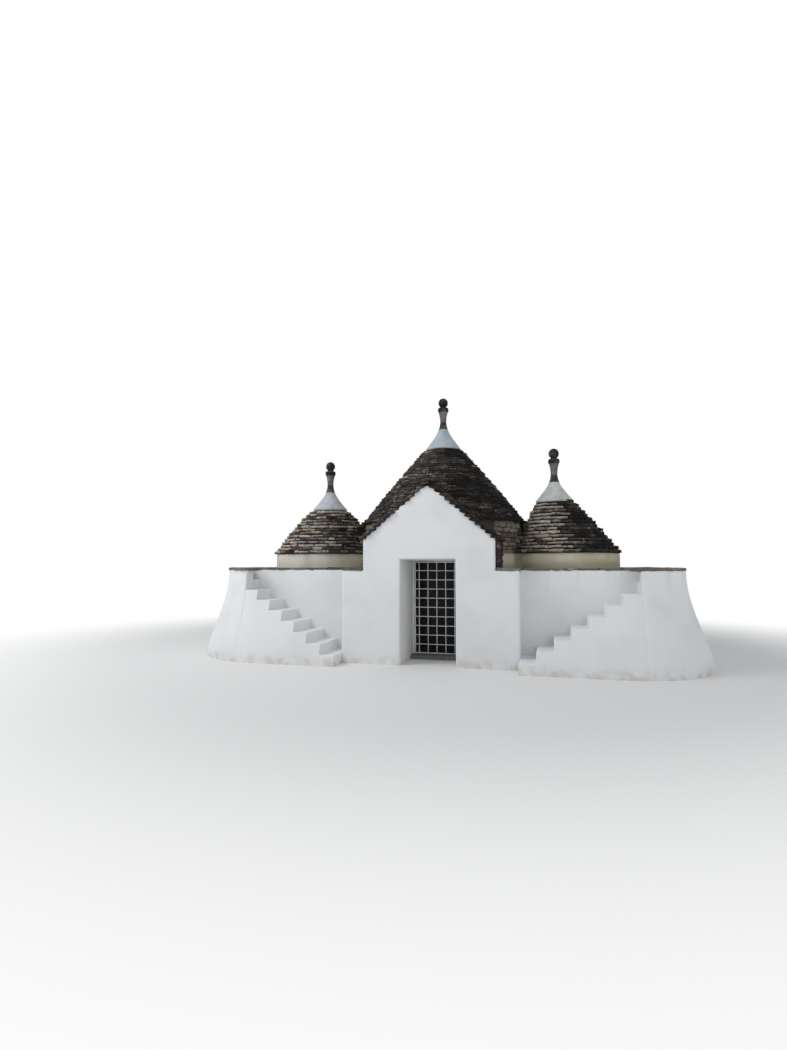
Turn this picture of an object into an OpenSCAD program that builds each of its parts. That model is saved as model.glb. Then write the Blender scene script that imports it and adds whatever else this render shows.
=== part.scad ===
// Small trullo house.
// A thick whitewashed wall mass with rounded, flaring ends carries three dry-stone
// cones. A gabled bay holds the deep doorway, and a flight of steps is let into the
// front on each side of it. Inside are a round room and two alcoves under domes.
// Origin: middle of the plan, on the ground. X runs to the right, Y to the back, Z up.
// All lengths are millimetres.

/* [Wall mass] */
// Length of the house between the feet of its end walls
house_l = 9300; // [9000:50:10500]
// Depth of the house between the feet of its front and rear walls
house_d = 5300; // [5200:50:6000]
// Radius of the rounded corners at the foot
corner_r = 1600; // [1400:50:1700]
// How far the foot of a wall flares out beyond its top edge
foot_flare = 400; // [200:20:450]
// Shape of the flare, small for a short foot and large for a long one
flare_shape = 0.8; // [0.6:0.05:1.2]
// Height of the wall mass under its coping
ledge_h = 1620; // [1560:20:1740]
// Thickness of the coping slabs
coping_t = 50; // [30:5:80]
// Width of the coping slabs
coping_w = 320; // [200:10:400]
// How far a coping slab oversails the wall face
coping_lap = 20; // [5:5:40]

/* [Stairs] */
// Number of steps in front of the end wall
step_count = 7; // [5:1:7]
// Height of one step
step_h = 180; // [160:5:200]
// Depth of one tread
step_d = 270; // [220:10:290]
// Start of the flight, from the middle of the house
stair_start = 1540; // [1400:20:1600]
// How far the wall behind the flight stands back from the face of the bay
stair_w = 500; // [420:10:560]
// Width of the last step behind the parapet
top_step_w = 250; // [200:10:300]

/* [Entrance bay] */
// Width of the bay
bay_w = 2300; // [2100:50:2500]
// Front face of the bay, from the middle of the house
bay_front = 2200; // [2150:10:2300]
// Height of the top of the gable
gable_top = 3080; // [2900:20:3200]
// Slope of the gable
gable_slope = 40; // [36:1:42]
// Radius of the rounded gable top
gable_r = 180; // [80:10:240]
// Thickness of the gable wall
gable_t = 450; // [300:10:500]
// Thickness of one course of the bay roof
bay_course_t = 62; // [40:2:80]
// Courses on one slope of the bay roof
bay_courses = 14; // [8:1:16]
// Share of its thickness that a course shows at its inner edge
bay_course_tuck = 0.45; // [0.3:0.05:0.6]
// How far the bay roof oversails the sides of the bay
bay_roof_lap = 60; // [40:5:80]
// Set-back of the bay roof from the gable face
bay_roof_set = 50; // [20:10:120]
// Width of the doorway
door_w = 980; // [900:20:1060]
// Height of the doorway
door_h = 1820; // [1760:10:1900]
// Height of the masonry between the doorway and the drum over it
lintel_h = 120; // [100:10:160]

/* [Rooms] */
// Offset of the middle cone from the middle of the house
main_x = -120; // [-160:10:0]
// Offset of the middle cone to the back
main_y = 100; // [0:10:160]
// Radius of the middle room
room_r = 1250; // [1200:10:1300]
// Radius of the right alcove
right_alcove_r = 650; // [620:10:680]
// Radius of the left alcove
left_alcove_r = 800; // [760:10:820]
// Thickness of the right end wall at its top
right_wall_t = 1260; // [1200:10:1280]
// Thickness of the left end wall at its top
left_wall_t = 830; // [800:10:870]
// Width of the arched passages
arch_w = 840; // [760:20:900]
// Height of the crown of the arches
arch_h = 1720; // [1660:20:1780]
// Width of the dressed stone on each side of an arch
arch_jamb = 100; // [80:10:120]
// Thickness of the floor slabs
floor_t = 50; // [30:5:55]
// Height of the threshold
threshold_h = 60; // [55:1:65]
// Depth of the threshold in front of the door
threshold_d = 250; // [150:10:400]

/* [Drums and domes] */
// Thickness of the masonry of the middle drum
drum_t = 350; // [320:10:380]
// Top of the middle drum
drum_top = 2550; // [2450:20:2600]
// Thickness of the masonry of the side drums
side_drum_t = 320; // [300:10:340]
// Top of the side drums
side_drum_top = 1940; // [1900:10:1980]
// Thickness of a ring of the corbelled domes
dome_t = 190; // [170:10:210]
// Rings of a dome
dome_rings = 12; // [10:1:14]
// Roundness of the domes, 1 for a straight cone
dome_shape = 0.9; // [0.85:0.01:1]
// Height of the stones that close a cone over its dome
crown_h = 60; // [40:5:80]

/* [Stone cones] */
// Foot radius of the middle cone
cone_foot_r = 1655; // [1640:5:1700]
// Top of the middle cone
cone_top = 4160; // [4000:20:4400]
// Courses of the middle cone
cone_courses = 30; // [20:1:32]
// How far a side cone oversails its drum
side_cone_lap = 15; // [5:5:50]
// Height of the right cone
right_cone_h = 1050; // [1000:10:1200]
// Height of the left cone
left_cone_h = 990; // [950:10:1100]
// Courses of a side cone
side_courses = 15; // [12:1:18]
// Lean of the top of the right cone towards the middle
right_lean = 210; // [100:10:230]
// Radius at the top of each cone
cone_head_r = 350; // [330:10:380]
// Roundness of the middle cone, 1 for straight
cone_shape = 0.95; // [0.85:0.01:1]
// Roundness of the left cone, 1 for straight
left_shape = 0.82; // [0.75:0.01:1]
// Roundness of the right cone, 1 for straight
right_shape = 0.95; // [0.85:0.01:1]
// How far a course stands in or out of the line of its cone
course_play = 7; // [0:1:10]

/* [Caps and pinnacles] */
// Radius of the plaster caps at their lip
cap_r = 335; // [300:5:345]
// Height of the middle plaster cap
cap_h = 410; // [300:10:440]
// Height of the side plaster caps
side_cap_h = 370; // [300:10:420]
// Height of the upright lip of a cap
cap_lip = 45; // [30:5:60]
// Hollowness of the sides of a cap, 1 for straight
cap_shape = 1.7; // [1.2:0.1:2]
// Radius of a pinnacle at its foot
pinnacle_r = 98; // [80:2:110]
// Radius of the waist of a pinnacle
waist_r = 68; // [50:2:75]
// Radius of the disc under the ball
disc_r = 116; // [100:2:130]
// Radius of the ball
ball_r = 104; // [90:2:115]
// Height of the underside of the disc above the cap
disc_z = 375; // [340:5:420]
// Thickness of the disc
disc_t = 92; // [70:2:100]
// Height of the neck between the disc and the ball
neck_h = 25; // [15:5:40]

/* [Door] */
// Distance of the door frame from the round wall of the room
door_gap = 5; // [0:5:60]
// Width of the iron frame members
frame_w = 30; // [26:1:50]
// Depth of the iron frame members
frame_d = 50; // [40:1:60]
// Gap round the door leaf
leaf_gap = 8; // [6:1:10]
// Thickness of the door leaf
leaf_t = 30; // [24:1:34]
// Width of the frame of the leaf
leaf_rim = 20; // [18:1:40]
// Thickness of the grille bars
bar_t = 14; // [10:1:16]
// Spacing of the upright bars
bar_pitch = 168; // [150:1:176]
// Rows of panes
pane_rows = 10; // [8:1:12]
// First upright bar from the hinge edge of the leaf
first_bar = 88; // [60:1:110]
// Thickness of the glass
glass_t = 6; // [4:1:8]
// Radius of the hinge pins
pin_r = 7; // [5:0.5:8]
// Running clearance of the hinge barrels on the pins
pin_gap = 0.5; // [0.3:0.1:1]
// Wall of the hinge barrels
barrel_t = 5; // [4:0.5:6]
// Height of a hinge barrel
barrel_h = 60; // [40:5:80]
// Distance of the hinge axis behind the door frame
axis_set = 20; // [18:1:30]

/* [Hidden] */
$fn = 200;

LIMEWASH = "#f4f4f0";
BAND = "#d8c8a8";
STONE = "#6b6055";
PALE_STONE = "#a89e8c";
IRON = "#eceef0";

cut = 10;
face_steps = 8;
half_l = house_l / 2;
half_d = house_d / 2;
top_d = half_d - foot_flare;
head_r = corner_r - foot_flare;
corner_x = half_l - corner_r;
corner_y = half_d - corner_r;
bay_top = door_h + lintel_h;
stair_back = bay_front - stair_w;
stair_end = stair_start + step_count * step_d;
right_x = half_l - foot_flare - right_wall_t - right_alcove_r;
left_x = half_l - foot_flare - left_wall_t - left_alcove_r;
half_bay = bay_w / 2;
half_door = door_w / 2;
arch_half = arch_w / 2 + arch_jamb;
arch_in = main_x + sqrt(pow(room_r, 2) - pow(arch_half + main_y, 2)) - cut;
arch_out = max(alcove_face(right_x, right_alcove_r),
               alcove_face(left_x, left_alcove_r)) + cut;
main_axis = [main_x, main_y];
drum_r = room_r + drum_t;
right_drum_r = right_alcove_r + side_drum_t;
left_drum_r = left_alcove_r + side_drum_t;
right_axis = [right_x, 0];
left_axis = [-left_x, 0];

door_y = main_y - room_r - door_gap - frame_d;
frame_in = half_door - frame_w;
leaf_half = frame_in - leaf_gap;
sill_gap = 10;
leaf_set = 10;
leaf_z = threshold_h + sill_gap;
leaf_top = door_h - frame_w - leaf_gap;
leaf_y = door_y + leaf_set;
axis_x = -frame_in;
axis_y = door_y + frame_d + axis_set;
barrel_r = pin_r + pin_gap + barrel_t;
hinge_z = [300, 920, 1540];
hinge_lift = 1;
course_seat = 5;
dome_spring = 0.96;
bracket_t = 12;
bracket_in = 10;
waist_share = 0.47;
neck_share = 0.6;
stem_share = 0.86;

// Where the wall of an alcove, x from the middle, meets the side of its arch
function alcove_face(x, r) = x - sqrt(pow(r, 2) - pow(arch_half, 2));

// Places children on the right (1) or, mirrored, on the left (-1)
module on_side(side) {
    if (side < 0)
        mirror([1, 0, 0]) children();
    else
        children();
}

// Flare of the wall face at a share t of its height: half a cosine wave
function flare(t) = foot_flare * (0.5 + 0.5 * cos(180 * pow(t, flare_shape)));

// Outline of the outer wall face from foot to ledge, beyond a base distance
function wall_face(base) = [
    for (i = [0 : face_steps])
        [base + flare(i / face_steps), ledge_h * i / face_steps]
];

// Solid of one wall run along X, from x0 to x1, between the middle plane and the face
module wall_run(x0, x1) {
    outline = concat([[0, 0]], wall_face(top_d), [[0, ledge_h]]);
    translate([x0, 0, 0])
        rotate([90, 0, 90])
            linear_extrude(x1 - x0) polygon(outline);
}

// Quarter-round solid of one corner, from the corner centre outwards
module corner_mass() {
    outline = concat([[0, 0]], wall_face(head_r), [[0, ledge_h]]);
    translate([corner_x, corner_y, 0])
        rotate_extrude(angle = 90) polygon(outline);
}

// Turns what is built for the rear right into the front right
module to_front() {
    mirror([0, 1, 0]) children();
}

// Spaces of the three rooms up to a height
module room_space(h) {
    translate([main_axis.x, main_axis.y, -cut]) cylinder(r = room_r, h = h + cut);
    translate([right_axis.x, right_axis.y, -cut])
        cylinder(r = right_alcove_r, h = h + cut);
    translate([left_axis.x, left_axis.y, -cut])
        cylinder(r = left_alcove_r, h = h + cut);
}

// Block that holds the arch on one side
module arch_block(grow = 0) {
    translate([arch_in, -arch_half, -grow])
        cube([arch_out - arch_in, 2 * arch_half, side_drum_top + grow]);
}

// Space of the entrance bay below the drum ring
module bay_block() {
    translate([-half_bay, -bay_front, -cut])
        cube([bay_w, bay_front - arch_half, bay_top + cut]);
}

// Walls of the front, with the recess of the flight left out
module front_wall(side) {
    color(LIMEWASH)
    difference() {
        on_side(side)
            linear_extrude(ledge_h)
                polygon([
                    [half_bay, -bay_front], [stair_start, -bay_front],
                    [stair_start, -stair_back], [corner_x, -stair_back],
                    [corner_x, 0], [half_bay, 0]
                ]);
        room_space(ledge_h + cut);
        on_side(side) arch_block(cut);
    }
}
module front_wall_left() front_wall(-1);
module front_wall_right() front_wall(1);

// Rounded corner beside the flight, which also forms its parapet
module front_corner(side) {
    top_step_z = step_count * step_h + step_h;
    color(LIMEWASH)
    on_side(side)
        difference() {
            to_front() corner_mass();
            translate([0, -half_d - cut, -cut])
                cube([stair_end, half_d + cut - stair_back, ledge_h + 2 * cut]);
            translate([stair_end - cut, -stair_back - top_step_w, top_step_z])
                cube([step_d + cut, top_step_w, ledge_h]);
        }
}
module front_corner_left() front_corner(-1);
module front_corner_right() front_corner(1);

// End wall with its rounded rear corner
module end_wall(side) {
    outline = concat([[0, 0]], wall_face(head_r), [[0, ledge_h]]);
    color(LIMEWASH)
    difference() {
        on_side(side)
            union() {
                corner_mass();
                translate([corner_x, corner_y, 0])
                    rotate([90, 0, 0])
                        linear_extrude(2 * corner_y) polygon(outline);
            }
        room_space(ledge_h + cut);
    }
}
module end_wall_left() end_wall(-1);
module end_wall_right() end_wall(1);

// Rear walls beside the middle part
module rear_wall(side) {
    color(LIMEWASH)
    difference() {
        on_side(side) wall_run(half_bay, corner_x);
        room_space(ledge_h + cut);
        on_side(side) arch_block(cut);
    }
}
module rear_wall_left() rear_wall(-1);
module rear_wall_right() rear_wall(1);

module rear_wall_middle() {
    color(LIMEWASH)
    difference() {
        wall_run(-half_bay, half_bay);
        room_space(ledge_h + cut);
        on_side(1) arch_block(cut);
        on_side(-1) arch_block(cut);
    }
}

// Stepped outline of the flight, length against height
function stair_outline() = concat(
    [[stair_start, 0]],
    [for (i = [1 : step_count], edge = [0, 1])
        [stair_start + (i - 1 + edge) * step_d, i * step_h]],
    [[stair_end, 0]]
);

// Flight of steps: the stepped outline cut off by the flaring front face
module stair(side) {
    color(LIMEWASH)
    on_side(side)
        intersection() {
            translate([0, -stair_back, 0])
                rotate([90, 0, 0])
                    linear_extrude(half_d) polygon(stair_outline());
            to_front()
                union() {
                    wall_run(half_bay, corner_x);
                    corner_mass();
                }
        }
}
module stair_left() stair(-1);
module stair_right() stair(1);

// Wall beside the doorway
module jamb(side) {
    color(LIMEWASH)
    difference() {
        on_side(side)
            translate([half_door, -bay_front, 0])
                cube([half_bay - half_door, bay_front - arch_half, door_h]);
        room_space(door_h + cut);
    }
}
module jamb_left() jamb(-1);
module jamb_right() jamb(1);

// Gable outline above the doorway: two slopes that meet in a round top
module gable_shape() {
    centre_z = gable_top - gable_r;
    join_x = gable_r * sin(gable_slope);
    join_z = centre_z + gable_r * cos(gable_slope);
    eave_z = join_z - (half_bay - join_x) * tan(gable_slope);
    polygon([
        [-half_bay, door_h], [half_bay, door_h], [half_bay, eave_z],
        [join_x, join_z], [-join_x, join_z], [-half_bay, eave_z]
    ]);
    translate([0, centre_z]) circle(r = gable_r);
}

module gable_wall() {
    color(LIMEWASH)
    translate([0, -bay_front + gable_t, 0])
        rotate([90, 0, 0])
            linear_extrude(gable_t) gable_shape();
}

// Outside of the middle drum and cone, as one solid to seat other masonry against
module main_body() {
    translate([main_axis.x, main_axis.y, bay_top])
        cylinder(r = drum_r, h = drum_top - bay_top);
    cone_solid(main_axis, drum_top, cone_top - drum_top, cone_foot_r,
               cone_courses, cone_shape, 0);
}

// Masonry over the deep doorway, between the gable wall and the drum
module bay_vault() {
    color(LIMEWASH)
    difference() {
        translate([0, -arch_half, 0])
            rotate([90, 0, 0])
                linear_extrude(bay_front - gable_t - arch_half) gable_shape();
        room_space(bay_top);
        main_body();
    }
}

// Stepped courses of one slope of the bay roof, over the gable outline
module bay_roof_shape() {
    rise = tan(gable_slope);
    ridge_z = gable_top - gable_r + gable_r / cos(gable_slope);
    reach = half_bay + bay_roof_lap;
    course_x = reach / bay_courses;
    lift = bay_course_t / cos(gable_slope);
    difference() {
        polygon(concat(
            [[0, ridge_z - reach * rise]],
            [for (i = [bay_courses : -1 : 1], edge = [0, 1])
                [(i - edge) * course_x,
                 ridge_z - (i - edge) * course_x * rise
                 + lift * (edge == 0 ? 1 : bay_course_tuck)]]
        ));
        gable_shape();
        translate([-half_bay, 0]) square([bay_w, door_h]);
        translate([0, ridge_z - reach * rise - reach])
            square([half_bay, reach]);
    }
}

module bay_roof(side) {
    color(STONE)
    difference() {
        on_side(side)
            translate([0, -arch_half, 0])
                rotate([90, 0, 0])
                    linear_extrude(bay_front - bay_roof_set - arch_half)
                        bay_roof_shape();
        main_body();
    }
}
module bay_roof_left() bay_roof(-1);
module bay_roof_right() bay_roof(1);

// Arched passage between the room and an alcove
module arch(side) {
    spring = arch_h - arch_w / 2;
    color(PALE_STONE)
    difference() {
        on_side(side) arch_block();
        room_space(side_drum_top + cut);
        on_side(side)
            translate([arch_in - cut, 0, 0]) {
                translate([0, -arch_w / 2, -cut])
                    cube([arch_out - arch_in + 2 * cut, arch_w, spring + cut]);
                translate([0, 0, spring])
                    rotate([0, 90, 0])
                        cylinder(d = arch_w, h = arch_out - arch_in + 2 * cut);
            }
    }
}
module arch_left() arch(-1);
module arch_right() arch(1);

module drum_middle() {
    color(PALE_STONE)
    difference() {
        translate([main_axis.x, main_axis.y, ledge_h])
            cylinder(r = drum_r, h = drum_top - ledge_h);
        translate([main_axis.x, main_axis.y, 0]) cylinder(r = room_r, h = drum_top + cut);
        bay_block();
        on_side(1) arch_block();
        on_side(-1) arch_block();
    }
}

module side_drum(side, axis, inner_r) {
    color(BAND)
    difference() {
        translate([axis.x, axis.y, ledge_h])
            cylinder(r = inner_r + side_drum_t, h = side_drum_top - ledge_h);
        translate([axis.x, axis.y, 0]) cylinder(r = inner_r, h = side_drum_top + cut);
        translate([main_axis.x, main_axis.y, 0])
            cylinder(r = drum_r, h = side_drum_top + cut);
        on_side(side) arch_block();
    }
}
module drum_left() side_drum(-1, left_axis, left_alcove_r);
module drum_right() side_drum(1, right_axis, right_alcove_r);

// Radius of a cone at a share t of its height
function cone_r(foot, t, shape) = cone_head_r + (foot - cone_head_r) * pow(1 - t, shape);

// How far course i stands out of the line of its cone; the foot course stays in line.
// The sine is read at steps of play_step degrees, so that no two courses in a row match.
play_step = 137.5;
function play(i) = i > 0 ? course_play * sin(i * play_step) : 0;

// Courses of a cone as stacked discs; the centre moves by lean towards the top
module cone_solid(axis, z, h, foot, count, shape, lean) {
    course_h = h / count;
    for (i = [0 : count - 1])
        course(axis.x + lean * i / count, axis.y, z, i, course_h,
               cone_r(foot, i / (count - 1), shape) + play(i));
}

// One disc of a stack, let into the disc below it
module course(x, y, z, i, course_h, r) {
    sink = i > 0 ? course_seat : 0;
    translate([x, y, z + i * course_h - sink])
        cylinder(r = r, h = course_h + sink);
}

// Stack of discs, all rings of a dome: grown for its outside, and less for its inside
module dome_solid(axis, z, h, inner_r, lean, grow, rings) {
    course_h = h / dome_rings;
    for (i = [0 : rings - 1])
        course(axis.x + lean * i / dome_rings, axis.y, z, i, course_h,
               inner_r * dome_spring * pow(1 - i / dome_rings, dome_shape) + grow);
}

// Corbelled dome: rings of stone that step inwards and close over the room
module dome(axis, z, h, inner_r, lean) {
    difference() {
        dome_solid(axis, z, h - crown_h, inner_r, lean, dome_t, dome_rings);
        dome_solid(axis, z, h - crown_h, inner_r, lean, 0, dome_rings - 1);
    }
}

// Stone cladding of a cone, over the dome
module cone(axis, z, h, foot, count, shape, lean, inner_r) {
    difference() {
        cone_solid(axis, z, h, foot, count, shape, lean);
        dome_solid(axis, z, h - crown_h, inner_r, lean, dome_t, dome_rings);
    }
}

// Quarter of the middle dome, turned by a number of right angles from the rear right
module dome_quarter(turns) {
    color(PALE_STONE)
    intersection() {
        dome(main_axis, drum_top, cone_top - drum_top, room_r, 0);
        translate([main_axis.x, main_axis.y, drum_top])
            rotate([0, 0, 90 * turns])
                cube([drum_r, drum_r, cone_top - drum_top]);
    }
}
module dome_middle_rear_right() dome_quarter(0);
module dome_middle_rear_left() dome_quarter(1);
module dome_middle_front_left() dome_quarter(2);
module dome_middle_front_right() dome_quarter(3);

module cone_middle() {
    color(STONE)
    cone(main_axis, drum_top, cone_top - drum_top, cone_foot_r, cone_courses,
         cone_shape, 0, room_r);
}

// Solid that the middle drum and cone foot take away from the side roofs
module main_clearance() {
    translate([main_axis.x, main_axis.y, ledge_h])
        cylinder(r = drum_r, h = drum_top - ledge_h);
    translate([main_axis.x, main_axis.y, drum_top])
        cylinder(r = cone_foot_r, h = cone_top - drum_top);
}

module dome_left() {
    color(PALE_STONE)
    difference() {
        dome(left_axis, side_drum_top, left_cone_h, left_alcove_r, 0);
        main_clearance();
    }
}
module dome_right() {
    color(PALE_STONE)
    difference() {
        dome(right_axis, side_drum_top, right_cone_h, right_alcove_r, -right_lean);
        main_clearance();
    }
}
module cone_left() {
    color(STONE)
    difference() {
        cone(left_axis, side_drum_top, left_cone_h, left_drum_r + side_cone_lap,
             side_courses, left_shape, 0, left_alcove_r);
        main_clearance();
    }
}
module cone_right() {
    color(STONE)
    difference() {
        cone(right_axis, side_drum_top, right_cone_h, right_drum_r + side_cone_lap,
             side_courses, right_shape, -right_lean, right_alcove_r);
        main_clearance();
    }
}

// Plaster cap: a lip, then a concave flare up to the pinnacle
module cap(x, y, z, h) {
    steps = 10;
    color(LIMEWASH)
    translate([x, y, z])
        rotate_extrude()
            polygon(concat(
                [[0, 0], [cap_r, 0]],
                [for (i = [0 : steps])
                    [pinnacle_r + (cap_r - pinnacle_r) * pow(1 - i / steps, cap_shape),
                     cap_lip + (h - cap_lip) * i / steps]],
                [[0, h]]
            ));
}
module cap_middle() cap(main_axis.x, main_axis.y, cone_top, cap_h);
module cap_left() {
    cap(left_axis.x, left_axis.y, side_drum_top + left_cone_h, side_cap_h);
}
module cap_right() {
    cap(right_axis.x - right_lean, right_axis.y, side_drum_top + right_cone_h,
        side_cap_h);
}

// Pinnacle: a waisted stem, a disc and a ball on a short neck
module pinnacle(x, y, z) {
    waist_z = disc_z * waist_share;
    neck_r = ball_r * neck_share;
    neck_z = disc_z + disc_t;
    ball_z = neck_z + neck_h + sqrt(pow(ball_r, 2) - pow(neck_r, 2));
    steps = 6;
    color(PALE_STONE)
    translate([x, y, z]) {
        rotate_extrude()
            polygon(concat(
                [[0, 0]],
                [for (i = [0 : steps])
                    [waist_r + (pinnacle_r - waist_r) * pow(1 - i / steps, 2),
                     waist_z * i / steps]],
                [for (i = [1 : steps])
                    [waist_r + (disc_r * stem_share - waist_r) * pow(i / steps, 2),
                     waist_z + (disc_z - waist_z) * i / steps]],
                [[disc_r, disc_z + disc_t * 0.25], [disc_r, disc_z + disc_t * 0.8],
                 [disc_r * 0.9, neck_z], [neck_r, neck_z], [neck_r, ball_z], [0, ball_z]]
            ));
        translate([0, 0, ball_z]) sphere(r = ball_r);
    }
}
module pinnacle_middle() pinnacle(main_axis.x, main_axis.y, cone_top + cap_h);
module pinnacle_left() {
    pinnacle(left_axis.x, left_axis.y, side_drum_top + left_cone_h + side_cap_h);
}
module pinnacle_right() {
    pinnacle(right_axis.x - right_lean, right_axis.y,
             side_drum_top + right_cone_h + side_cap_h);
}

// Coping slabs on the front wall: beside the bay, then along the flight
module coping_front(side) {
    front = -bay_front - coping_lap;
    back = -stair_back - coping_lap;
    color(STONE)
    on_side(side)
        translate([0, 0, ledge_h])
            linear_extrude(coping_t)
                polygon([
                    [half_bay, front], [stair_start + coping_lap, front],
                    [stair_start + coping_lap, back], [stair_end + step_d, back],
                    [stair_end + step_d, back + coping_w],
                    [stair_start + coping_lap - coping_w, back + coping_w],
                    [stair_start + coping_lap - coping_w, front + coping_w],
                    [half_bay, front + coping_w]
                ]);
}
module coping_front_left() coping_front(-1);
module coping_front_right() coping_front(1);

// Quarter ring of coping on a rounded corner
module coping_corner() {
    translate([corner_x, corner_y, ledge_h])
        rotate_extrude(angle = 90)
            translate([head_r + coping_lap - coping_w, 0]) square([coping_w, coping_t]);
}

module coping_end(side) {
    parapet_x = stair_end;
    color(STONE)
    on_side(side)
        difference() {
            union() {
                coping_corner();
                to_front() coping_corner();
                translate([corner_x + head_r + coping_lap - coping_w, -corner_y, ledge_h])
                    cube([coping_w, 2 * corner_y, coping_t]);
            }
            translate([0, -half_d, ledge_h - cut])
                cube([parapet_x, half_d, coping_t + 2 * cut]);
            translate([parapet_x - cut, -stair_back - top_step_w, ledge_h - cut])
                cube([step_d + cut, top_step_w, coping_t + 2 * cut]);
            coping_front_space();
        }
}

// Space of the front coping, kept free by the end coping
module coping_front_space() {
    translate([0, -stair_back - coping_lap, ledge_h - cut])
        cube([stair_end + step_d, coping_w, coping_t + 2 * cut]);
}
module coping_end_left() coping_end(-1);
module coping_end_right() coping_end(1);

module coping_rear() {
    color(STONE)
    translate([-corner_x, top_d + coping_lap - coping_w, ledge_h])
        cube([2 * corner_x, coping_w, coping_t]);
}

module floor() {
    color(PALE_STONE) {
        linear_extrude(floor_t) {
            translate(main_axis) circle(r = room_r);
            translate(right_axis) circle(r = right_alcove_r);
            translate(left_axis) circle(r = left_alcove_r);
            translate([-left_x, -arch_w / 2]) square([left_x + right_x, arch_w]);
        }
    }
}

module threshold() {
    color(PALE_STONE)
    difference() {
        translate([-half_door, door_y - threshold_d, 0])
            cube([door_w, main_y - door_y + threshold_d, threshold_h]);
        room_space(threshold_h + cut);
    }
}

// Fixed iron frame round the doorway
module door_frame() {
    color(IRON)
    difference() {
        translate([-half_door, door_y, threshold_h])
            cube([door_w, frame_d, door_h - threshold_h]);
        translate([-frame_in, door_y - cut, 0])
            cube([2 * frame_in, frame_d + 2 * cut, door_h - frame_w]);
    }
}

// Brackets on the frame, each with an upright pin
module door_hinges() {
    color(IRON)
    for (z = hinge_z) {
        translate([axis_x - frame_w + bracket_in, door_y + frame_d, z - bracket_t])
            cube([frame_w - bracket_in + pin_r, axis_set + pin_r, bracket_t]);
        translate([axis_x, axis_y, z - bracket_t])
            cylinder(r = pin_r, h = bracket_t + barrel_h);
    }
}

// Barrel of the leaf round a pin, with the plate that carries it
module leaf_barrel(z) {
    difference() {
        union() {
            translate([axis_x, axis_y, z]) cylinder(r = barrel_r, h = barrel_h);
            translate([axis_x + leaf_gap, leaf_y + leaf_t / 2, z])
                cube([leaf_rim, axis_y - leaf_y - leaf_t / 2, barrel_h]);
            translate([axis_x, axis_y - barrel_t, z])
                cube([leaf_rim, barrel_t, barrel_h]);
        }
        translate([axis_x, axis_y, z - cut])
            cylinder(r = pin_r + pin_gap, h = barrel_h + 2 * cut);
    }
}

module door_leaf() {
    leaf_h = leaf_top - leaf_z;
    bar_count = floor((2 * leaf_half - leaf_rim - bar_t - first_bar) / bar_pitch);
    color(IRON) {
        difference() {
            translate([-leaf_half, leaf_y, leaf_z]) cube([2 * leaf_half, leaf_t, leaf_h]);
            translate([-leaf_half + leaf_rim, leaf_y - cut, leaf_z + leaf_rim])
                cube([2 * (leaf_half - leaf_rim), leaf_t + 2 * cut, leaf_h - 2 * leaf_rim]);
        }
        for (i = [0 : bar_count])
            translate([-leaf_half + first_bar + i * bar_pitch - bar_t / 2, leaf_y,
                       leaf_z + leaf_rim / 2])
                cube([bar_t, bar_t, leaf_h - leaf_rim]);
        for (i = [1 : pane_rows - 1])
            translate([-leaf_half + leaf_rim / 2, leaf_y,
                       leaf_z + leaf_h * i / pane_rows - bar_t / 2])
                cube([2 * leaf_half - leaf_rim, bar_t, bar_t]);
        for (z = hinge_z)
            leaf_barrel(z + hinge_lift);
    }
}

module door_glass() {
    color([0.1, 0.11, 0.12, 0.6])
    translate([-leaf_half + leaf_rim, leaf_y + bar_t, leaf_z + leaf_rim])
        cube([2 * (leaf_half - leaf_rim), glass_t, leaf_top - leaf_z - 2 * leaf_rim]);
}

front_wall_left();
front_wall_right();
front_corner_left();
front_corner_right();
end_wall_left();
end_wall_right();
rear_wall_left();
rear_wall_middle();
rear_wall_right();
stair_left();
stair_right();
jamb_left();
jamb_right();
gable_wall();
bay_vault();
bay_roof_left();
bay_roof_right();
arch_left();
arch_right();
drum_middle();
drum_left();
drum_right();
dome_middle_rear_right();
dome_middle_rear_left();
dome_middle_front_left();
dome_middle_front_right();
dome_left();
dome_right();
cone_middle();
cone_left();
cone_right();
cap_middle();
cap_left();
cap_right();
pinnacle_middle();
pinnacle_left();
pinnacle_right();
coping_front_left();
coping_front_right();
coping_end_left();
coping_end_right();
coping_rear();
floor();
threshold();
door_frame();
door_hinges();
door_leaf();
door_glass();
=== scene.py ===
"""Trullo house: plaster coats, dry-stone work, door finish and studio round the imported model.

Lengths are metres. X runs to the right, Y to the back and Z up, as in the frame.
"""
import logging
import math
from collections.abc import Callable, Iterator
from dataclasses import dataclass, field
from enum import Enum

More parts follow.
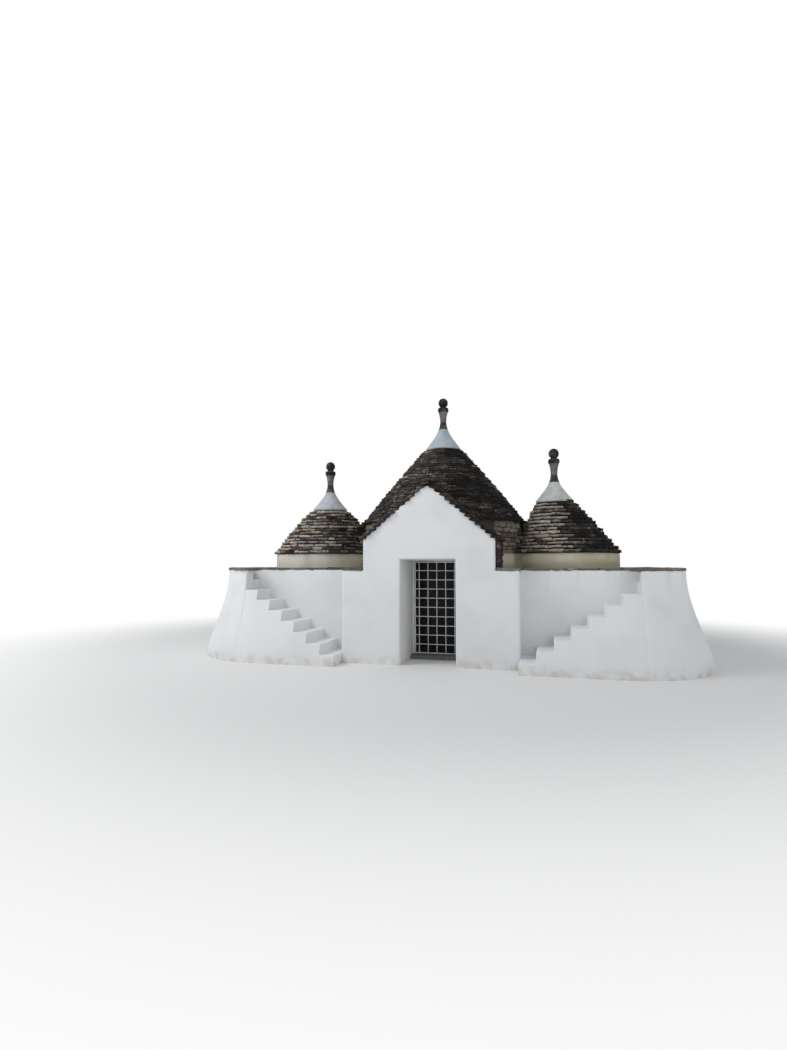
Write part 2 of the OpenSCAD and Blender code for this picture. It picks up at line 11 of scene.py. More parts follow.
import bpy
import numpy as np
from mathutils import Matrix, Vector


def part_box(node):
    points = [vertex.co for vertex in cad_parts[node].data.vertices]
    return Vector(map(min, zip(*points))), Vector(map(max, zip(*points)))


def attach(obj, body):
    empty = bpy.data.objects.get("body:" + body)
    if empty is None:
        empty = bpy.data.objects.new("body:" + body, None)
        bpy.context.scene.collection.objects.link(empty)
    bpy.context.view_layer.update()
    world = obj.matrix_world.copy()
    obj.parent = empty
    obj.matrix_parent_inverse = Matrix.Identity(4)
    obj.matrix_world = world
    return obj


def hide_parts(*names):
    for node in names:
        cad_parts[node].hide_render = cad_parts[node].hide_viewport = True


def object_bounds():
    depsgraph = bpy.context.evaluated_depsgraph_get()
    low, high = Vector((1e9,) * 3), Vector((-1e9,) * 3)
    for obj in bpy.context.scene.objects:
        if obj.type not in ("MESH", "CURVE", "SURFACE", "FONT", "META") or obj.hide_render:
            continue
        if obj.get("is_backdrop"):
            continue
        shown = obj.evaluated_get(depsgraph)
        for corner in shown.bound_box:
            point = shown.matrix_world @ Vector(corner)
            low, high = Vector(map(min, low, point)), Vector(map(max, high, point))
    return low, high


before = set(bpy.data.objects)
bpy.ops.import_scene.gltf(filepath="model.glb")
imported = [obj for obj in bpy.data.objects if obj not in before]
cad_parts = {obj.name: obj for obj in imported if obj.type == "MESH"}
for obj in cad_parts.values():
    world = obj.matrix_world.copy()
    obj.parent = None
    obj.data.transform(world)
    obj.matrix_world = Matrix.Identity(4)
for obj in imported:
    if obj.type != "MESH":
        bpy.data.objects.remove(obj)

CAD_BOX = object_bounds()
HOUSE = "house"
LOG = logging.getLogger("trullo")
Colour = tuple[float, float, float]
Point = tuple[float, float, float]
WHITE: Colour = (1.0, 1.0, 1.0)


class Side(Enum):
    """Side of the house that a piece stands on, as the sign of its X."""

    LEFT = -1
    RIGHT = 1

    @property
    def word(self) -> str:
        """Name of the side, as node names end."""
        return self.name.lower()


def low(node: str) -> np.ndarray:
    """Lowest corner of a CAD node."""
    return np.array(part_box(node)[0], float)


def high(node: str) -> np.ndarray:
    """Highest corner of a CAD node."""
    return np.array(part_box(node)[1], float)


def ease(share: np.ndarray) -> np.ndarray:
    """Smooth step: 0 up to 0, 1 from 1 on, and 3s^2 - 2s^3 between them."""
    share = np.clip(share, 0.0, 1.0)
    return share * share * (3.0 - 2.0 * share)


def lattice_noise(points: np.ndarray, size: float, seed: int) -> np.ndarray:
    """Value noise: a hashed number on each corner of a lattice of cubes, blended smoothly.

    Args:
        points: Array of places, (..., 3).
        size: Edge of one cube.
        seed: Number that picks the pattern.

    Returns:
        Values from -1 to 1, one for each place.
    """
    scaled = points / size
    cell = np.floor(scaled).astype(np.int64)
    part = scaled - cell
    blend = part * part * (3.0 - 2.0 * part)
    total = np.zeros(points.shape[:-1])
    for corner in np.ndindex(2, 2, 2):
        key = (cell + corner) @ np.array((374761393, 668265263, 960691297)) + seed * 974711
        key &= 0xFFFFFFFF
        key = ((key ^ (key >> 13)) * 1274126177) & 0xFFFFFFFF
        value = ((key ^ (key >> 16)) & 0xFFFF) / 32767.5 - 1.0
        weight = np.prod(np.where(np.array(corner) == 1, blend, 1.0 - blend), axis=-1)
        total += weight * value
    return total


def rough_noise(points: np.ndarray, size: float, seed: int) -> np.ndarray:
    """Sum of three layers of lattice noise, each of half the size and strength of the last.

    Args:
        points: Array of places, (..., 3).
        size: Size of the widest layer.
        seed: Number that picks the pattern.

    Returns:
        Values from about -1 to 1.
    """
    shares = (1.0, 0.5, 0.25)
    parts = [lattice_noise(points, size * share, seed + i) * share for i, share in enumerate(shares)]
    return sum(parts) / sum(shares)


def grid_faces(rows: int, cols: int, ring_rows: bool = False, ring_cols: bool = False) -> np.ndarray:
    """Quads of a grid of points that are numbered row by row.

    Args:
        rows: Rows of points.
        cols: Points in a row.
        ring_rows: Whether the last row joins the first.
        ring_cols: Whether each row is a ring.

    Returns:
        Array of point numbers, (quads, 4).
    """
    i, j = np.meshgrid(np.arange(rows - (not ring_rows)), np.arange(cols - (not ring_cols)), indexing="ij")
    i_next, j_next = (i + 1) % rows, (j + 1) % cols
    return np.stack(
        [i * cols + j, i_next * cols + j, i_next * cols + j_next, i * cols + j_next], axis=-1
    ).reshape(-1, 4)


def enclosed(points: np.ndarray, faces: list[np.ndarray]) -> float:
    """Signed volume of a closed mesh: the sum over fans of triangles of a . (b x c) / 6.

    Args:
        points: Array of points, (n, 3).
        faces: Groups of faces, each an array with one row of point numbers for a face.

    Returns:
        The volume, which is below 0 where the faces point inwards.
    """
    total = 0.0
    for group in faces:
        first = points[group[:, 0]]
        for k in range(1, group.shape[1] - 1):
            total += np.einsum("ij,ij->", first, np.cross(points[group[:, k]], points[group[:, k + 1]]))
    return total / 6.0


def add_piece(
    name: str,
    points: np.ndarray,
    finish: bpy.types.Material,
    stands_for: tuple[str, ...] = (),
    faces: list[np.ndarray] | None = None,
    values: dict[str, np.ndarray] | None = None,
    crease: float = 40.0,
) -> None:
    """Makes a closed mesh piece that rides on the house.

    Args:
        name: Name of the piece.
        points: Array of points, (..., 3).
        finish: Material of the piece.
        stands_for: CAD nodes that the piece replaces.
        faces: Groups of faces, each an array with one row of point numbers for a face. Without
            them the points are a row of closed sections, with a face on each end.
        values: Arrays by name with one value from 0 to 1 for each point, for the materials.
        crease: Angle in degrees from which an edge stays sharp.
    """
    if faces is None:
        rows, cols = points.shape[:2]
        ends = np.stack([np.arange(cols), (rows - 1) * cols + np.arange(cols)[::-1]])
        faces = [grid_faces(rows, cols, ring_cols=True), ends]
    points = points.reshape(-1, 3)
    if enclosed(points, faces) < 0.0:
        faces = [group[:, ::-1] for group in faces]
    corners = np.concatenate([group.ravel() for group in faces])
    widths = np.concatenate([np.full(len(group), group.shape[1]) for group in faces])
    mesh = bpy.data.meshes.new(name)
    mesh.vertices.add(len(points))
    mesh.vertices.foreach_set("co", points.astype(np.float32).ravel())
    mesh.loops.add(len(corners))
    mesh.loops.foreach_set("vertex_index", corners.astype(np.int32))
    mesh.polygons.add(len(widths))
    mesh.polygons.foreach_set("loop_start", (np.cumsum(widths) - widths).astype(np.int32))
    mesh.polygons.foreach_set("use_smooth", np.ones(len(widths), bool))
    for key, value in (values or {}).items():
        layer = mesh.attributes.new(key, "FLOAT", "POINT")
        layer.data.foreach_set("value", value.astype(np.float32).ravel())
    mesh.update(calc_edges=True)
    mesh.set_sharp_from_angle(angle=math.radians(crease))
    mesh.materials.append(finish)
    piece = bpy.data.objects.new(name, mesh)
    bpy.context.collection.objects.link(piece)
    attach(piece, HOUSE)
    if stands_for:
        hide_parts(*stands_for)
    LOG.info("%s: %d triangles", name, int((widths - 2).sum()))


class Wire:
    """One output socket of a node tree; arithmetic on wires adds the nodes for it."""

    def __init__(self, tree: "NodeTree", socket: bpy.types.NodeSocket) -> None:
        """Wraps a socket of a tree."""
        self.tree = tree
        self.socket = socket

    def _work(self, operation: str, first: object, second: object) -> "Wire":
        """Adds a Vector Math node where a colour or vector takes part, and else a Math node.

        Args:
            operation: What the node works out.
            first: Wire, number or vector on the left of the operator.
            second: Wire, number or vector on its right.

        Returns:
            The wire of the result.
        """
        wide = any(
            isinstance(x, tuple) or (isinstance(x, Wire) and x.socket.type in ("RGBA", "VECTOR"))
            for x in (first, second)
        )
        kind = "ShaderNodeVectorMath" if wide else "ShaderNodeMath"
        return self.tree.wire(kind, {"operation": operation}, {0: first, 1: second})

    def __add__(self, other: object) -> "Wire":
        """Sum."""
        return self._work("ADD", self, other)

    def __radd__(self, other: object) -> "Wire":
        """Reflected sum."""
        return self._work("ADD", other, self)

    def __sub__(self, other: object) -> "Wire":
        """Difference."""
        return self._work("SUBTRACT", self, other)

    def __rsub__(self, other: object) -> "Wire":
        """Reflected difference."""
        return self._work("SUBTRACT", other, self)

    def __mul__(self, other: object) -> "Wire":
        """Product."""
        return self._work("MULTIPLY", self, other)

    def __rmul__(self, other: object) -> "Wire":
        """Reflected product."""
        return self._work("MULTIPLY", other, self)

    def span(self, start: float, end: float) -> "Wire":
        """Value eased from 0 at start to 1 at end; start may be the higher one."""
        settings = {"interpolation_type": "SMOOTHSTEP"}
        return self.tree.wire("ShaderNodeMapRange", settings, {0: self, 1: start, 2: end, 3: 0.0, 4: 1.0})

    def mix(self, first: object, second: object) -> "Wire":
        """Colour that goes from first to second as this value goes from 0 to 1."""
        settings = {"data_type": "RGBA", "clamp_factor": True}
        return self.tree.wire("ShaderNodeMix", settings, {0: self, 6: first, 7: second}, output=2)


class NodeTree:
    """Node tree of a material or the world, with the one way in which nodes are added."""

    def __init__(self, tree: bpy.types.NodeTree) -> None:
        """Empties a tree."""
        self.nodes = tree.nodes
        self.links = tree.links
        self.nodes.clear()

    def node(self, kind: str, settings: dict, inputs: dict) -> bpy.types.Node:
        """Adds a node.

        Args:
            kind: Type of the node.
            settings: Its settings by name, set before its sockets.
            inputs: Values or wires of its sockets, by number or name.

        Returns:
            The new node.
        """
        made = self.nodes.new(kind)
        for key, value in settings.items():
            setattr(made, key, value)
        for key, value in inputs.items():
            self.feed(made.inputs[key], value)
        return made

    def feed(self, socket: bpy.types.NodeSocket, value: object) -> None:
        """Links a wire to a socket, or sets the socket.

        Args:
            socket: Input socket of a node.
            value: Wire, number, vector or colour; a number fills all three parts of a vector.
        """
        if isinstance(value, Wire):
            self.links.new(value.socket, socket)
        elif socket.type == "RGBA":
            socket.default_value = (*value, 1.0)
        elif socket.type == "VECTOR" and not isinstance(value, tuple):
            socket.default_value = (value, value, value)
        else:
            socket.default_value = value

    def wire(self, kind: str, settings: dict, inputs: dict, output: int = 0) -> Wire:
        """Adds a node and returns the wire of one of its outputs."""
        return Wire(self, self.node(kind, settings, inputs).outputs[output])


class ShaderTree(NodeTree):
    """Node tree of one material, with the patterns that the finishes are made of."""

    def __init__(self, name: str) -> None:
        """Makes a material with a Principled BSDF and its output."""
        self.material = bpy.data.materials.new(name)
        self.material.use_nodes = True
        super().__init__(self.material.node_tree)
        self.shader = self.node("ShaderNodeBsdfPrincipled", {}, {})
        self.output = self.node("ShaderNodeOutputMaterial", {}, {0: Wire(self, self.shader.outputs[0])})
        self.place = self.wire("ShaderNodeTexCoord", {}, {}, output=3)

    def noise(self, scale: float, detail: float = 3.0, stretch: tuple | None = None) -> Wire:
        """Noise from 0 to 1 on the Object coordinates, with about scale features a metre."""
        where = self.place * stretch if stretch else self.place
        return self.wire("ShaderNodeTexNoise", {}, {"Vector": where, "Scale": scale, "Detail": detail})

    def edges(self, scale: float, bend: float = 0.0) -> Wire:
        """Distance to the edges of Voronoi cells.

        Args:
            scale: About how many cells there are in a metre.
            bend: Distance by which noise bends the edges.

        Returns:
            The wire of the distance, in cells.
        """
        where = self.place
        if bend > 0.0:
            where = where + self.noise(scale * 0.7, 2.0) * bend
        settings = {"feature": "DISTANCE_TO_EDGE"}
        return self.wire("ShaderNodeTexVoronoi", settings, {"Vector": where, "Scale": scale})

    def axis(self, index: int) -> Wire:
        """One of the Object coordinates: 0 for X, 1 for Y and 2 for Z."""
        return self.wire("ShaderNodeSeparateXYZ", {}, {0: self.place}, output=index)

    def value(self, name: str) -> Wire:
        """Value from 0 to 1 of one of the piece's own attributes."""
        return self.wire("ShaderNodeAttribute", {"attribute_name": name}, {}, output=2)

    def finish(
        self, colour: object, roughness: object, height: Wire | None = None, depth: float = 0.01,
        fixed: dict[str, float] | None = None,
    ) -> bpy.types.Material:
        """Connects the Principled BSDF.

        Args:
            colour: Base colour or its wire.
            roughness: Roughness or its wire.
            height: Height of the fine relief, from 0 to 1.
            depth: Depth in metres of that relief.
            fixed: Other sockets of the shader with their fixed values, by name.

        Returns:
            The finished material.
        """
        self.feed(self.shader.inputs["Base Color"], colour)
        self.feed(self.shader.inputs["Roughness"], roughness)
        if height is not None:
            bump = self.wire("ShaderNodeBump", {}, {"Strength": 1.0, "Distance": depth, "Height": height})
            self.feed(self.shader.inputs["Normal"], bump)
        for key, value in (fixed or {}).items():
            self.feed(self.shader.inputs[key], value)
        return self.material


@dataclass(frozen=True)
class Limewash:
    """Brushed limewash over plaster, with grey runs under the coping and a soiled foot.

    The bay, which has no coping, has no runs.
    """

    bay_half: float
    bay_y: float
    wash: Colour = (0.80, 0.81, 0.82)
    worn: Colour = (0.69, 0.70, 0.70)
    run: Colour = (0.50, 0.49, 0.47)
    soil: Colour = (0.50, 0.40, 0.31)
    worn_share: float = 0.55
    run_share: float = 0.5
    soil_share: float = 0.55
    soil_top: float = 0.22
    run_top: float = 1.64
    run_end: float = 1.15
    run_fade: float = 0.05
    bay_fade: tuple[float, float] = (0.1, 0.3)
    brush_depth: float = 0.009

    def make(self) -> bpy.types.Material:
        """Builds the material.

        Returns:
            The finished material.
        """
        tree = ShaderTree("limewash")
        height = tree.axis(2)
        patches = tree.noise(1.1, 4.0).span(0.42, 0.72)
        base = (patches * self.worn_share).mix(self.wash, self.worn)
        streaks = tree.noise(1.0, 2.0, (5.0, 5.0, 0.5)).span(0.52, 0.8)
        above = height.span(self.run_top, self.run_top + self.run_fade)
        under = height.span(self.run_end, self.run_top) * (1.0 - above)
        beside = tree.wire("ShaderNodeMath", {"operation": "ABSOLUTE"}, {0: tree.axis(0)})
        on_bay = beside.span(self.bay_half + self.bay_fade[0], self.bay_half)
        on_bay = on_bay * tree.axis(1).span(self.bay_y + self.bay_fade[1], self.bay_y)
        base = (streaks * under * (1.0 - on_bay) * self.run_share).mix(base, self.run)
        splash = (1.0 - height.span(0.0, self.soil_top)) * tree.noise(6.0, 5.0).span(0.35, 0.7)
        base = (splash * self.soil_share).mix(base, self.soil)
        brush = tree.noise(9.0, 5.0) * 0.7 + tree.noise(45.0, 4.0, (1.0, 1.0, 0.6)) * 0.3
        return tree.finish(base, 0.92, brush, self.brush_depth)


@dataclass(frozen=True)
class BandRender:
    """Lime render of the low drums: beige, ashen on the left and darker on the far right.

    Damp has stained its foot olive, up to a line that sways.
    """

    render: Colour = (0.60, 0.54, 0.41)
    pale: Colour = (0.72, 0.68, 0.56)
    damp: Colour = (0.36, 0.34, 0.23)
    stain: Colour = (0.30, 0.27, 0.20)
    ashen: Colour = (0.70, 0.69, 0.64)
    ashen_x: tuple[float, float] = (-1.2, -2.2)
    dark_right_x: tuple[float, float] = (2.5, 3.3)
    ashen_share: float = 0.75
    ashen_dry: float = 0.45
    damp_share: float = 0.8
    dark_right_share: float = 0.35
    stain_share: float = 0.4
    damp_z: float = 1.66
    clean_z: float = 1.86
    damp_sway: float = 0.16

    def make(self) -> bpy.types.Material:
        """Builds the material.

        Returns:
            The finished material.
        """
        tree = ShaderTree("band_render")
        base = tree.noise(2.2, 4.0).span(0.35, 0.68).mix(self.render, self.pale)
        left = tree.axis(0).span(*self.ashen_x)
        base = (left * self.ashen_share).mix(base, self.ashen)
        height = tree.axis(2) + tree.noise(1.6, 3.0) * self.damp_sway - self.damp_sway / 2
        rise = height.span(self.clean_z, self.damp_z)
        darker_right = tree.axis(0).span(*self.dark_right_x)
        wet = rise * (self.damp_share - left * self.ashen_dry) + darker_right * self.dark_right_share
        base = wet.mix(base, self.damp)
        runs = tree.noise(1.0, 1.5, (4.0, 4.0, 1.2)).span(0.5, 0.8)
        base = (runs * self.stain_share).mix(base, self.stain)
        grain = tree.noise(14.0, 5.0) * 0.6 + tree.noise(90.0, 2.0) * 0.4
        return tree.finish(base, 0.95, grain, 0.012)


@dataclass(frozen=True)
class TerraceLime:
    """Grey-beige lime screed of the terrace, with black algae, lichen spots and hairline cracks."""

    screed: Colour = (0.47, 0.45, 0.39)
    pale: Colour = (0.60, 0.58, 0.52)
    algae: Colour = (0.12, 0.115, 0.10)
    lichen: Colour = (0.52, 0.47, 0.26)
    crack: Colour = (0.14, 0.13, 0.11)
    algae_share: float = 0.75
    lichen_share: float = 0.6
    crack_bend: float = 0.5
    crack_w: float = 0.012

    def make(self) -> bpy.types.Material:
        """Builds the material.

        Returns:
            The finished material.
        """
        tree = ShaderTree("terrace_lime")
        base = tree.noise(1.4, 5.0).span(0.35, 0.68).mix(self.screed, self.pale)
        growth = tree.noise(0.8, 6.0).span(0.48, 0.72) * tree.noise(17.0, 4.0).span(0.3, 0.7)
        base = (growth * self.algae_share).mix(base, self.algae)
        spots = tree.noise(23.0, 3.0).span(0.66, 0.74) * tree.noise(1.9, 3.0).span(0.5, 0.65)
        base = (spots * self.lichen_share).mix(base, self.lichen)
        mended = tree.noise(0.9, 3.0).span(0.58, 0.44)
        line = 1.0 - tree.edges(1.1, self.crack_bend).span(0.0, self.crack_w)
        whole = 1.0 - line * (1.0 - mended)
        base = whole.mix(self.crack, base)
        grain = tree.noise(12.0, 5.0) * 0.5 + tree.noise(80.0, 2.0) * 0.3 + whole * 0.4
        return tree.finish(base, 0.95, grain, 0.01)


@dataclass(frozen=True)
class FieldStone:
    """Weathered limestone: tone and tint go from stone to stone, with streaks, lichen and rust.

    The tone and hue attributes of a piece hold its stones' values; hue runs from a red-brown
    tint over plain grey to a greenish one. Whole masonry, which has neither, takes both from noise.
    """

    name: str
    dark: Colour
    middle: Colour
    light: Colour
    lichen: Colour = (0.50, 0.49, 0.43)
    rust: Colour = (0.33, 0.20, 0.09)
    red: Colour = (1.14, 0.96, 0.88)
    green: Colour = (0.95, 1.02, 0.88)
    lichen_share: float = 0.45
    rust_share: float = 0.3
    tone_share: float = 0.85
    mottle_share: float = 0.7
    level_cut: float = 0.3
    streak: float = 3.0
    whole: bool = False

    def make(self) -> bpy.types.Material:
        """Builds the material.

        Returns:
            The finished material.
        """
        tree = ShaderTree(self.name)
        mottle = tree.noise(8.0, 5.0, (1.0, 1.0, self.streak))
        if self.whole:
            tone, hue = tree.noise(1.7, 2.0), tree.noise(1.3, 2.0)
        else:
            tone, hue = tree.value("tone"), tree.value("hue")
        level = tone * self.tone_share + mottle * self.mottle_share - self.level_cut
        base = level.span(0.0, 0.5).mix(self.dark, self.middle)
        base = level.span(0.5, 1.0).mix(base, self.light)
        tint = hue.span(0.0, 0.4).mix(self.red, WHITE)
        base = base * hue.span(0.62, 1.0).mix(tint, self.green)
        crust = tree.noise(3.1, 5.0).span(0.5, 0.62) * tree.noise(26.0, 4.0).span(0.47, 0.6)
        base = (crust * level.span(0.1, 0.5) * self.lichen_share).mix(base, self.lichen)
        warm = tree.noise(2.3, 3.0).span(0.52, 0.68) * tree.noise(19.0, 4.0).span(0.5, 0.62)
        base = (warm * self.rust_share).mix(base, self.rust)
        pits = tree.noise(32.0, 5.0) * 0.6 + tree.noise(110.0, 3.0) * 0.25 + mottle * 0.5
        return tree.finish(base, 0.93, pits, 0.012, {"Specular IOR Level": 0.15})


@dataclass(frozen=True)
class PlasterCap:
    """Pale lime plaster of a cap, duller where it is worn, with grime along its lip and in runs."""

    name: str
    plaster: Colour
    base_z: float
    worn_share: float = 0.78
    grime: Colour = (0.25, 0.24, 0.22)
    lip_h: float = 0.02
    lip_share: float = 0.6
    run_share: float = 0.3

    def make(self) -> bpy.types.Material:
        """Builds the material.

        Returns:
            The finished material.
        """
        tree = ShaderTree(self.name)
        worn = tuple(self.worn_share * part for part in self.plaster)
        base = tree.noise(5.0, 5.0).span(0.4, 0.7).mix(self.plaster, worn)
        lip = 1.0 - tree.axis(2).span(self.base_z, self.base_z + self.lip_h)
        lip = lip * tree.noise(11.0, 4.0).span(0.35, 0.65)
        runs = tree.noise(1.0, 2.0, (14.0, 14.0, 2.0)).span(0.52, 0.78)
        base = (lip * self.lip_share + runs * self.run_share).mix(base, self.grime)
        return tree.finish(base, 0.9, tree.noise(24.0, 5.0), 0.01)


@dataclass(frozen=True)
class PaintedIron:
    """White paint over iron, with rust at chips and along the lower parts."""

    paint: Colour = (0.86, 0.85, 0.80)
    rust: Colour = (0.20, 0.09, 0.04)
    dull: Colour = (0.68, 0.67, 0.62)
    high_share: float = 0.3
    low_share: float = 0.7
    paint_rough: float = 0.42
    rust_rough: float = 0.4
    grain: float = 0.0008

    def make(self) -> bpy.types.Material:
        """Builds the material.

        Returns:
            The finished material.
        """
        tree = ShaderTree("painted_iron")
        base = tree.noise(7.0, 4.0).span(0.4, 0.75).mix(self.paint, self.dull)
        chips = tree.noise(34.0, 5.0).span(0.66, 0.72)
        low_down = 1.0 - tree.axis(2).span(0.05, 0.6)
        rusted = chips * (low_down * self.low_share + self.high_share)
        base = rusted.mix(base, self.rust)
        rough = rusted * self.rust_rough + self.paint_rough
        return tree.finish(base, rough, tree.noise(120.0, 3.0), self.grain)


@dataclass(frozen=True)
class DarkGlass:
    """Panes in front of an unlit room: nearly black, with a dusty film."""

    pane: Colour = (0.006, 0.007, 0.010)
    dust: Colour = (0.05, 0.05, 0.047)
    dust_share: float = 0.25
    pane_rough: float = 0.12
    dust_rough: float = 0.2

    def make(self) -> bpy.types.Material:
        """Builds the material.

        Returns:
            The finished material.
        """
        tree = ShaderTree("door_glass")
        film = tree.noise(5.0, 4.0).span(0.5, 0.85)
        base = (film * self.dust_share).mix(self.pane, self.dust)
        rough = film * self.dust_rough + self.pane_rough
        fixed = {"Alpha": 0.9, "Specular IOR Level": 0.1}
        return tree.finish(base, rough, tree.noise(3.0, 2.0), 0.002, fixed)


@dataclass(frozen=True)
class Floor:
    """Worn limestone flags: pale cells with dark joints."""

    flag: Colour = (0.42, 0.39, 0.33)
    deep: Colour = (0.26, 0.23, 0.19)
    joint: Colour = (0.12, 0.11, 0.10)
    joint_w: float = 0.03

    def make(self) -> bpy.types.Material:
        """Builds the material.

        Returns:
            The finished material.
        """
        tree = ShaderTree("floor_flags")
        edge = tree.edges(2.4).span(0.0, self.joint_w)
        base = tree.noise(4.0, 5.0).span(0.35, 0.7).mix(self.flag, self.deep)
        base = edge.mix(self.joint, base)
        return tree.finish(base, 0.7, edge * 0.7 + tree.noise(30.0, 4.0) * 0.3, 0.008)


@dataclass(frozen=True)
class Lamp:
    """Square area lamp: its name, place, edge and power."""

    name: str
    place: Point
    size: float
    power: float

    def hang(self, aim: Point) -> None:
        """Adds the lamp, turned towards a point.

        Args:
            aim: Point that the lamp faces.
        """
        data = bpy.data.lights.new(self.name, "AREA")
        data.size = self.size
        data.energy = self.power
        lamp = bpy.data.objects.new(self.name, data)
        lamp.location = self.place
        away = np.subtract(self.place, aim)
        flat = math.hypot(away[0], away[1])
        lamp.rotation_euler = (math.atan2(flat, away[2]), 0.0, math.atan2(away[0], -away[1]))
        bpy.context.collection.objects.link(lamp)


@dataclass(frozen=True)
class Studio:
    """Pale floor, soft lamps, white surroundings and the camera at the photo's viewing angle."""

    camera_place: Point = (2.11, -12.30, 1.72)
    yaw: float = 15.0
    pitch: float = 3.8
    lens: float = 20.57
    sensor: float = 36.0
    floor_tone: Colour = (0.80, 0.80, 0.79)
    floor_rough: float = 0.9
    floor_size: float = 160.0
    floor_fade: tuple[float, float] = (5.5, 11.5)
    sky: Colour = (0.93, 0.96, 1.0)
    sky_light: float = 0.5
    aim: Point = (0.0, 0.0, 1.5)
    lamps: tuple[Lamp, ...] = (
        Lamp("key", (-9.0, -7.0, 9.5), 6.0, 620.0),
        Lamp("fill", (9.0, -10.0, 6.0), 8.0, 170.0),
    )

    def camera(self) -> None:
        """Adds the camera: level distance and height, turned by yaw and tilted up by pitch."""
        data = bpy.data.cameras.new("camera")
        data.sensor_width = self.sensor
        data.lens = self.lens
        camera = bpy.data.objects.new("camera", data)
        camera.location = self.camera_place
        camera.rotation_euler = (math.radians(90.0 + self.pitch), 0.0, math.radians(self.yaw))
        bpy.context.collection.objects.link(camera)
        bpy.context.scene.camera = camera

    def surroundings(self) -> None:
        """World that is white to the camera and in reflections, and a soft sky to the rest."""
        world = bpy.data.worlds.new("studio")
        world.use_nodes = True
        bpy.context.scene.world = world
        tree = NodeTree(world.node_tree)
        rays = tree.node("ShaderNodeLightPath", {}, {})
        direct, glossy, through = (
            Wire(tree, rays.outputs[f"Is {kind} Ray"]) for kind in ("Camera", "Glossy", "Transmission")
        )
        either = {"operation": "MAXIMUM"}
        bounced = tree.wire("ShaderNodeMath", either, {0: glossy, 1: through})
        seen = tree.wire("ShaderNodeMath", either, {0: direct, 1: bounced})
        white = tree.wire("ShaderNodeBackground", {}, {0: WHITE, 1: 1.0})
        sky = tree.wire("ShaderNodeBackground", {}, {0: self.sky, 1: self.sky_light})
        both = tree.wire("ShaderNodeMixShader", {}, {0: seen, 1: sky, 2: white})
        tree.node("ShaderNodeOutputWorld", {}, {0: both})

    def floor(self) -> None:
        """Adds the pale floor, which fades to plain white far from the house."""
        tree = ShaderTree("studio_floor")
        tree.finish(self.floor_tone, self.floor_rough)
        far = tree.wire("ShaderNodeVectorMath", {"operation": "LENGTH"}, {0: tree.place}, output=1)
        near = Wire(tree, tree.shader.outputs[0])
        glow = tree.wire("ShaderNodeEmission", {}, {0: WHITE, 1: 1.0})
        both = tree.wire("ShaderNodeMixShader", {}, {0: far.span(*self.floor_fade), 1: near, 2: glow})
        tree.feed(tree.output.inputs[0], both)
        half = self.floor_size / 2
        corners = [(-half, -half, 0.0), (half, -half, 0.0), (half, half, 0.0), (-half, half, 0.0)]
        mesh = bpy.data.meshes.new("studio_floor")
        mesh.from_pydata(corners, [], [(0, 1, 2, 3)])
        mesh.materials.append(tree.material)
        floor = bpy.data.objects.new("studio_floor", mesh)
        bpy.context.collection.objects.link(floor)
        floor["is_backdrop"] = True

    def make(self) -> None:
        """Sets up the studio."""
        bpy.context.scene.view_settings.view_transform = "Standard"
        self.surroundings()
        self.camera()
        self.floor()
        for lamp in self.lamps:
            lamp.hang(self.aim)


@dataclass(frozen=True)
class Drum:
    """Round wall: its centre, outer radius and height range."""

    x: float
    y: float
    r: float
    bottom: float
    top: float


